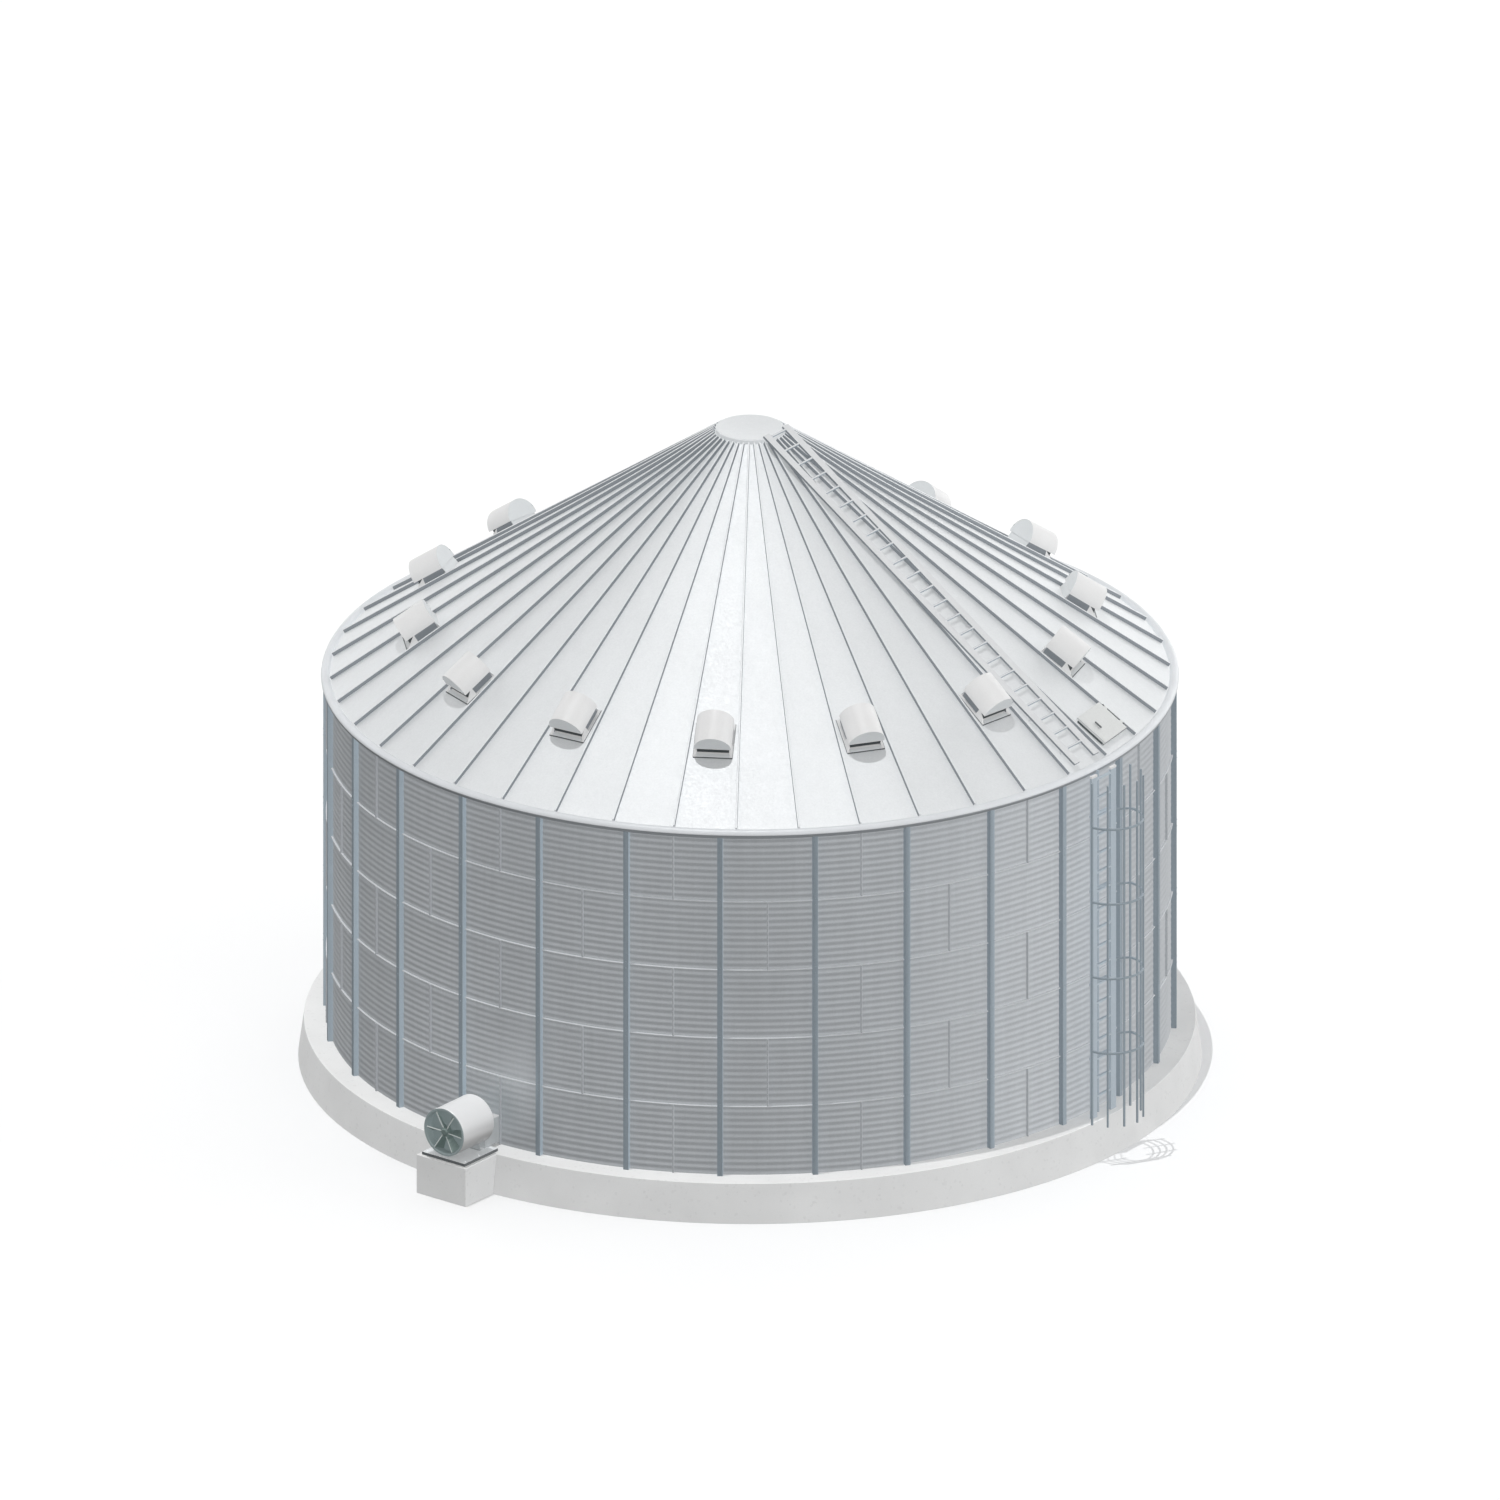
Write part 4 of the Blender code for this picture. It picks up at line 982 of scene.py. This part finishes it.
def build_hatch_trim(metal, dark):
    """The lid's pressed field with its screws, a dark strip of painted shade below the curb,
    and the handle's grip.
    """
    frame_here = panel_matrix(HATCH_T, HATCH_R)
    half_s, half_t = LID_S - FIELD_IN, LID_T - FIELD_IN
    bm = bmesh.new()
    add_block(bm, (-half_s, -half_t, LID_TOP - FIELD_SUNK),
              (half_s, half_t, LID_TOP + FIELD_CUT), FIELD_CUT)
    for s in (-LID_SCREW_S, LID_SCREW_S):
        for t in LID_SCREWS_T:
            add_bolt(bm, Matrix.Translation((s, t, LID_TOP)) @ STAND, LID_SCREW)
    place(bm, frame_here)
    make_piece("lid_field", bm, metal, body="hatch_lid")
    # Painted shade: a dark strip on the sheet along the curb's downhill side
    near, far = CURB_SHADE_S
    bm = bmesh.new()
    add_block(bm, (near, -CURB_T, OFF_SHEET), (far, CURB_T, CURB_SHADE_N))
    place(bm, frame_here)
    make_piece("curb_shade_strip", bm, dark)
    bottom, top = GRIP_N
    bm = bmesh.new()
    add_block(bm, (-GRIP_HALF, HANDLE_T - GRIP_T, bottom),
              (GRIP_HALF, HANDLE_T + GRIP_T, top), GRIP_CUT)
    place(bm, frame_here)
    make_piece("handle_grip", bm, dark, body="hatch_lid")


# Fan, with places along its axis measured from the bin's axis
FAN_REAR = 6.78
FAN_FRONT = 7.535
FAN_R = 0.381
FAN_BORE = 0.345
FAN_BACK_T = 0.012
BARREL_SIDES = 72
FAN_LIP_AT = FAN_FRONT - 0.012
FAN_SKIN = FAN_BORE + 0.012
FAN_RIM = 0.009
FAN_RIM_STEPS = (4, 8)
FAN_BAND_IN = 2.2 * FAN_RIM
FAN_BAND_SUNK = 0.002
LINING_GAP = 0.0005
LINING_CUT = 0.003
MOUTH_CUT = 0.006
# How dark the painted shade leaves the barrel's underside, as a share of its colour
BARREL_UNDERSIDE_SHADE = 0.28
DISC_AT = 7.395
DISC_T = 0.004
HUB_HOLE = 0.03
HUB_R = 0.064
HUB_L = 0.10
HUB_AT = 7.515
BLADES = 6
BLADE_TIP = 0.33
BLADE_TWIST = radians(38)
BLADE_PHASE = radians(4.5)
# A blade's painted highlight strip along its front edge: half width, half height and cut, and
# the shares of the blade's length at which it is drawn
EDGE_SECTION = (0.0045, 0.0085, 0.0015)
EDGE_SHARES = (0.02, 0.25, 0.5, 0.75, 0.99)
# Shares of the twist and of the hub's half length, at a blade's root and tip
EDGE_TWIST = (0.5, 1.0)
EDGE_FRONT = (0.9, 1.5)
PORT_HALF = 0.16
PORT_LOW = 0.89
PORT_HIGH = 1.07
PLATE_TOP = SLAB_H + 0.045
PLATE_IN = 6.649
PLATE_OUT = 7.470
PLATE_SIDES = (-0.442, 0.381)
FOOT_HALF = 0.20
FOOT_AT = FAN_REAR + 0.10
FOOT_T = 0.012
FOOT_TURN = radians(26)
FOOT_STEPS = 12
SOLE_OUT = 0.02
SOLE_H = 0.006
COVER_IN = 0.004
COVER_SUNK = 0.002
COVER_RISE = 0.0015
BASE_BOLT = (0.011, 0.012)
BASE_BOLT_END = 0.08
BASE_BOLT_SIDE = 0.05


def fan_matrix():
    """Return the frame of the fan's axis: X outward along it."""
    return upright_matrix(FAN_T, 0.0, FAN_SIDE, FAN_Z)


def port_ring(along):
    """Return the port's outline with one point for each side of the barrel."""
    low, high = PORT_LOW - FAN_Z, PORT_HIGH - FAN_Z
    middle, half = (low + high) / 2, (high - low) / 2
    ring = []
    for point in circle(along, 1.0, BARREL_SIDES):
        reach = min(PORT_HALF / max(abs(point.y), 1e-6), half / max(abs(point.z), 1e-6))
        ring.append(Vector((along, reach * point.y, middle + reach * point.z)))
    return ring


def build_fan_barrel(mat):
    """The fan's barrel with rolled rims."""
    top = FAN_R - FAN_RIM
    front_steps, rear_steps = FAN_RIM_STEPS
    front = [(FAN_LIP_AT - FAN_RIM + FAN_RIM * sin(a), top + FAN_RIM * cos(a))
             for a in arc(0.0, pi / 2, front_steps)]
    rear = [(FAN_REAR + FAN_RIM + FAN_RIM * sin(a), top + FAN_RIM * cos(a))
            for a in arc(-pi / 2, 0.0, rear_steps)]
    band = [(along, FAN_R - FAN_BAND_SUNK)
            for along in (FAN_REAR + FAN_BAND_IN, FAN_FRONT - FAN_BAND_IN)]
    inside = [(FAN_LIP_AT, FAN_SKIN), (FAN_REAR + FAN_BAND_SUNK, FAN_SKIN)]
    bm = bmesh.new()
    add_lathe(bm, rear + band + front + inside, BARREL_SIDES, fan_matrix(), closed=True)
    make_piece("fan_barrel", bm, mat, replaces=("fan_housing",))


def build_fan_lining(mat):
    """The barrel's darker rim and lining, the plate behind the blades and the back; the
    darkness inside the barrel is painted shade.
    """
    front, back = FAN_LIP_AT + LINING_GAP, FAN_REAR + FAN_BACK_T
    outline = ((front, FAN_SKIN), (front, FAN_R - OVERLAP),
               (FAN_FRONT - LINING_CUT, FAN_R), (FAN_FRONT, FAN_R - LINING_CUT),
               (FAN_FRONT, FAN_BORE + MOUTH_CUT), (FAN_FRONT - MOUTH_CUT, FAN_BORE),
               (DISC_AT, FAN_BORE), (DISC_AT, HUB_HOLE), (DISC_AT - DISC_T, HUB_HOLE),
               (DISC_AT - DISC_T, FAN_BORE), (back, FAN_BORE))
    rings = [circle(along, radius, BARREL_SIDES) for along, radius in outline]
    rings += [port_ring(back), port_ring(FAN_REAR + OVERLAP)]
    rings.append(circle(FAN_REAR + OVERLAP, FAN_SKIN, BARREL_SIDES))
    bm = bmesh.new()
    add_loft(bm, rings, closed=True)
    place(bm, fan_matrix())
    make_piece("fan_lining", bm, mat)


def between(ends, share):
    """Return the value at a share of the way from one end to the other."""
    return ends[0] + (ends[1] - ends[0]) * share


def build_blade_highlights(mat):
    """Painted highlights along the front edges of the six twisted blades."""
    section = chamfered(*EDGE_SECTION)
    bm = bmesh.new()
    for blade in range(BLADES):
        a = BLADE_PHASE + 2 * pi * blade / BLADES
        out, across = Vector((0, cos(a), sin(a))), Vector((0, -sin(a), cos(a)))
        rings = []
        for share in EDGE_SHARES:
            turn = Matrix.Rotation(BLADE_TWIST * between(EDGE_TWIST, share), 3, out)
            front = HUB_L / 2 * between(EDGE_FRONT, share)
            centre = out * between((HUB_R, BLADE_TIP), share)
            centre.x = -HUB_L / 2
            rings.append([centre + turn @ (Vector((front + x, 0, 0)) + across * y)
                          for x, y in section])
        add_loft(bm, rings)
    place(bm, upright_matrix(FAN_T, HUB_AT, FAN_SIDE, FAN_Z))
    make_piece("blade_highlights", bm, mat, body="fan_impeller")


def build_fan_foot(mat):
    """The plate foot that carries the barrel on the base plate."""
    reach = FAN_R + OVERLAP
    outline = [(reach * cos(a), FAN_Z + reach * sin(a))
               for a in arc(-pi / 2 - FOOT_TURN, -pi / 2 + FOOT_TURN, FOOT_STEPS)]
    outline += [(FOOT_HALF, PLATE_TOP), (-FOOT_HALF, PLATE_TOP)]
    bm = bmesh.new()
    add_prism(bm, outline, FOOT_AT, FOOT_AT + FOOT_T, axis=0)
    add_block(bm, (FOOT_AT - SOLE_OUT, -FOOT_HALF, PLATE_TOP),
              (FOOT_AT + FOOT_T + SOLE_OUT, FOOT_HALF, PLATE_TOP + SOLE_H))
    place(bm, upright_matrix(FAN_T, side=FAN_SIDE))
    make_piece("fan_foot", bm, mat)


def build_base_cover(mat):
    """The pale sheet on the fan's base plate, with its bolts."""
    left, right = PLATE_SIDES
    bm = bmesh.new()
    add_block(bm, (PLATE_IN + COVER_IN, left + COVER_IN, PLATE_TOP - COVER_SUNK),
              (PLATE_OUT - COVER_IN, right - COVER_IN, PLATE_TOP + COVER_RISE), FINE_CUT)
    for along in (PLATE_IN + BASE_BOLT_END, 0.5 * (PLATE_IN + PLATE_OUT),
                  PLATE_OUT - BASE_BOLT_END):
        for side in (left + BASE_BOLT_SIDE, right - BASE_BOLT_SIDE):
            shift = Matrix.Translation((along, side, PLATE_TOP + OVERLAP))
            add_bolt(bm, shift @ STAND, BASE_BOLT)
    place(bm, upright_matrix(FAN_T))
    make_piece("base_cover", bm, mat)


# Slab
SLAB_EDGE = 0.014
SLAB_SKIN = 0.002
# The foot's edge, as steps in from the slab's side and up from the ground
SLAB_FOOT = (0.01, 0.004)


def build_slab(mat, lit_top_mat):
    """The round slab with its top edge slightly rounded and its top painted lighter, as painted
    light.
    """
    inset, rise = SLAB_FOOT
    corner = SLAB_R_TOP + SLAB_SKIN - SLAB_EDGE
    profile = [(SLAB_R_BOTTOM - inset, 0.0), (SLAB_R_BOTTOM, rise)]
    profile += round_profile(corner, SLAB_H - SLAB_EDGE, SLAB_EDGE)
    bm = bmesh.new()
    turned(bm, profile, 2 * FACETS)
    slab = make_piece("slab_body", bm, mat, replaces=("foundation_slab",))
    # Painted light: the up-facing faces take the lighter concrete
    recolour(slab, UP, lit_top_mat)
    slab.visible_diffuse = False
    slab.visible_glossy = False


# Studio light. The lamps without shadows stand for the light that comes from
# all round; only the sun nearly overhead draws shadows.
SIDE_LAMPS = 6
SIDE_ELEVATION = radians(15.0)
SIDE_STRENGTH = 1.02
SIDE_LEAN = 0.10
SIDE_SPREAD = radians(60)
TOP_STRENGTH = 0.45
LOW_STRENGTH = 0.34
RIGHT_STRENGTH = 0.55
RIGHT_FROM = (0.95, -0.15, -0.3)
BEHIND_STRENGTH = 0.35
BEHIND_FROM = (0.6, 0.8, -0.3)
SUN_STRENGTH = 1.05
SUN_FROM = (-0.082, -0.036, 1.0)
SUN_SOFTNESS = radians(0.15)
SKY_BELOW = 0.06
SKY_SIDE = 0.09
SKY_ABOVE = 0.09
FLOOR_COLOR = 0.95


def set_world():
    """A weak sky, darker below."""
    world = bpy.data.worlds.new("studio")
    bpy.context.scene.world = world
    world.use_nodes = True
    tree = world.node_tree
    coordinates = tree.nodes.new("ShaderNodeTexCoord")
    split = tree.nodes.new("ShaderNodeSeparateXYZ")
    ramp = tree.nodes.new("ShaderNodeValToRGB")
    shift = tree.nodes.new("ShaderNodeMapRange")
    shift.inputs["From Min"].default_value = -1.0
    tree.links.new(coordinates.outputs["Generated"], split.inputs["Vector"])
    tree.links.new(split.outputs["Z"], shift.inputs["Value"])
    tree.links.new(shift.outputs["Result"], ramp.inputs["Fac"])
    tree.links.new(ramp.outputs["Color"], tree.nodes["Background"].inputs["Color"])
    stops = ramp.color_ramp.elements
    stops.new(0.5)
    for stop, value in zip(stops, (SKY_BELOW, SKY_SIDE, SKY_ABOVE)):
        stop.color = (value, value, value, 1.0)


def add_lamp(name, strength, toward, spread, shadow=False):
    """Add a distant lamp that shines from a direction."""
    lamp = bpy.data.lights.new(name, "SUN")
    lamp.energy = strength
    lamp.angle = spread
    lamp.use_shadow = shadow
    obj = bpy.data.objects.new(name, lamp)
    obj.rotation_mode = "QUATERNION"
    obj.rotation_quaternion = (-Vector(toward)).to_track_quat("-Z", "Y")
    bpy.context.scene.collection.objects.link(obj)


def set_lights():
    """Six lamps round, four from above, below, low right and low behind, and the sun."""
    for k in range(SIDE_LAMPS):
        angle = 360.0 * (k + 0.5) / SIDE_LAMPS
        lean = 1.0 + SIDE_LEAN * sin(radians(angle))
        toward = polar(angle, cos(SIDE_ELEVATION), sin(SIDE_ELEVATION))
        add_lamp(f"side_{k + 1}", SIDE_STRENGTH * lean, toward, SIDE_SPREAD)
    add_lamp("top", TOP_STRENGTH, (0.0, 0.0, 1.0), SIDE_SPREAD)
    add_lamp("low", LOW_STRENGTH, (0.0, 0.0, -1.0), SIDE_SPREAD)
    add_lamp("right", RIGHT_STRENGTH, RIGHT_FROM, SIDE_SPREAD)
    add_lamp("behind", BEHIND_STRENGTH, BEHIND_FROM, SIDE_SPREAD)
    add_lamp("sun", SUN_STRENGTH, SUN_FROM, SUN_SOFTNESS, shadow=True)


def set_floor():
    """A plain pale floor that throws no light back at the bin."""
    size, drop = 300.0, 0.001
    mesh = bpy.data.meshes.new("floor")
    mesh.from_pydata([(-size, -size, -drop), (size, -size, -drop),
                      (size, size, -drop), (-size, size, -drop)], [], [(0, 1, 2, 3)])
    paint = Nodes("floor", (FLOOR_COLOR,) * 3, roughness=0.9, metallic=0.0, specular=0.0)
    mesh.materials.append(paint.mat)
    obj = bpy.data.objects.new("floor", mesh)
    obj.visible_diffuse = False
    obj.visible_glossy = False
    bpy.context.scene.collection.objects.link(obj)


# The photograph's view, in its pixels and in metres
PHOTO_SIDE = 1500
PIXELS_PER_METRE = 65.9
CAMERA_ELEVATION = radians(22.07)
CAMERA_AIM_Z = 4.986
CAMERA_AWAY = 60.0


def set_camera():
    """The photograph's view: parallel rays, a little down onto the roof."""
    data = bpy.data.cameras.new("camera")
    data.type = "ORTHO"
    data.ortho_scale = PHOTO_SIDE / PIXELS_PER_METRE
    data.clip_end = 400.0
    obj = bpy.data.objects.new("camera", data)
    back = Vector((0, -cos(CAMERA_ELEVATION), sin(CAMERA_ELEVATION)))
    obj.location = Vector((0, 0, CAMERA_AIM_Z)) + back * CAMERA_AWAY
    obj.rotation_euler = (pi / 2 - CAMERA_ELEVATION, 0, 0)
    bpy.context.scene.collection.objects.link(obj)
    bpy.context.scene.camera = obj


set_world()
set_lights()
set_floor()
set_camera()
bpy.context.scene.view_settings.view_transform = "Standard"

# Each has its colour, roughness and metallic value, then spangle and streaks
wall_steel = galvanised("wall_steel", (0.485, 0.508, 0.53), 0.5, 0.5)
# A lighter steel: painted highlight on the ring bars
ring_bar_highlight_steel = galvanised("ring_bar_highlight_steel", (0.60, 0.62, 0.64), 0.5, 0.3)
seam_steel = galvanised("seam_steel", (0.46, 0.48, 0.50), 0.5, 0.5)
post_steel = galvanised("post_steel", (0.33, 0.385, 0.43), 0.45, 0.6)
# A lighter copy of the post steel: painted light on one side of each post
post_lit_side_steel = galvanised("post_lit_side_steel", (0.48, 0.56, 0.62), 0.45, 0.6)
roof_steel = galvanised("roof_steel", (0.735, 0.75, 0.76), 0.64, 0.8, 0.015, 0.01)
# Dark steel for painted shade on the roof ribs' sides and the vents' throat sides
side_shade_steel = galvanised("side_shade_steel", (0.22, 0.24, 0.26), 0.5, 0.3, 0.015, 0.01)
lid_steel = galvanised("lid_steel", (0.68, 0.69, 0.685), 0.64, 0.8, 0.015, 0.01)
white_metal = painted("white_metal", (0.67, 0.67, 0.67), 0.5)
# A grey copy of the white metal: painted shade on the vents' fronts and sills
vent_shade_grey = painted("vent_shade_grey", (0.57, 0.59, 0.60), 0.5)
eave_metal = painted("eave_metal", (0.64, 0.66, 0.68), 0.5, 0.15)
# A darker copy of the eave's paint: painted shade on the roll's underside
eave_underside_shade_metal = painted("eave_underside_shade_metal", (0.33, 0.35, 0.37), 0.35, 0.4)
ladder_steel = galvanised("ladder_steel", (0.42, 0.48, 0.53), 0.5, 0.2, 0.03, 0.02)
roof_ladder_steel = galvanised("roof_ladder_steel", (0.60, 0.61, 0.62), 0.5, 0.1, 0.02, 0.02)
# Dark steel for painted shade on the roof ladder's rail sides and ends
rail_side_shade_steel = galvanised("rail_side_shade_steel", (0.22, 0.24, 0.26), 0.5, 0.2, 0.02, 0.02)
cage_steel = galvanised("cage_steel", (0.29, 0.34, 0.38), 0.5, 0.2, 0.03, 0.02)
dark_metal = painted("dark_metal", (0.10, 0.11, 0.115), 0.5)
# Near black, for painted shade: the hatch's curb, the lid's downhill faces, the vents' screens
# and flange strips
painted_shade_black = painted("painted_shade_black", (0.06, 0.07, 0.075), 0.5)
barrel_metal = barrel_paint("barrel_metal", (0.98, 0.98, 0.98))
# A lighter and a darker copy of the duct's paint: painted light on its top, painted shade on
# its sides
duct_lit_top_metal = painted("duct_lit_top_metal", (0.60, 0.60, 0.60), 0.5)
duct_shaded_side_metal = painted("duct_shaded_side_metal", (0.385, 0.405, 0.415), 0.5)
foot_metal = painted("foot_metal", (0.33, 0.35, 0.36), 0.5)
# Dark grey for the motor, and painted shade on the lining and plate inside the barrel
fan_grey = painted("fan_grey", (0.24, 0.29, 0.295), 0.55)
blade_metal = galvanised("blade_metal", (0.17, 0.22, 0.21), 0.4, 0.4, 0.02, 0.02)
# A light paint for the painted highlights on the blades' front edges
blade_highlight_metal = painted("blade_highlight_metal", (0.50, 0.54, 0.53), 0.4)
base_metal = painted("base_metal", (0.80, 0.82, 0.83), 0.6)
pad_concrete = concrete("pad_concrete", (0.66, 0.665, 0.665))
slab_concrete = concrete("slab_concrete", (0.695, 0.70, 0.70))
# A lighter copy of the concrete: painted light on the tops of the slab and the fan's pad
lit_top_concrete = concrete("concrete_painted_lit_top", (0.80, 0.80, 0.795))

for segment in range(SEGMENTS):
    build_sheets(segment, wall_steel)
    build_ring_bars(segment, ring_bar_highlight_steel)
    build_seam_bars(segment, seam_steel)
    build_posts(segment, post_steel, post_lit_side_steel)
    build_eave(segment, eave_metal, eave_underside_shade_metal)
    build_roof(segment, roof_steel, side_shade_steel)
for number in range(VENTS):
    build_vent(number, white_metal, vent_shade_grey, side_shade_steel, painted_shade_black)
build_cap(roof_steel)
build_cage(cage_steel)
build_rail_caps(white_metal)
# The cage steel serves again as painted shade on the roof ladder's rungs
build_roof_ladder(roof_ladder_steel, rail_side_shade_steel, cage_steel)
build_hatch_trim(lid_steel, dark_metal)
build_fan_barrel(barrel_metal)
build_fan_lining(fan_grey)
build_fan_foot(foot_metal)
build_blade_highlights(blade_highlight_metal)
build_base_cover(base_metal)
# Painted shade: the curb is near black but for its downhill faces, and the lid's downhill faces
# are near black
downhill = panel_matrix(HATCH_T, HATCH_R).to_3x3() @ Vector((1, 0, 0))
recolour(soften("hatch_curb", painted_shade_black), downhill, roof_steel)
recolour(soften("hatch_lid", lid_steel), downhill, painted_shade_black)
soften("wall_ladder", ladder_steel)
# Painted light and shade: the duct's top takes the lighter paint, its sides the darker
recolour(soften("fan_duct", duct_shaded_side_metal), UP, duct_lit_top_metal)
soften("fan_base", dark_metal)
soften("fan_motor", fan_grey)
soften("fan_impeller", blade_metal, 0.001)
# Painted light: the pad's top takes the lighter concrete
recolour(soften("fan_pad", pad_concrete, 0.012), UP, lit_top_concrete)
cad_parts["fan_pad"].visible_diffuse = False
build_slab(slab_concrete, lit_top_concrete)
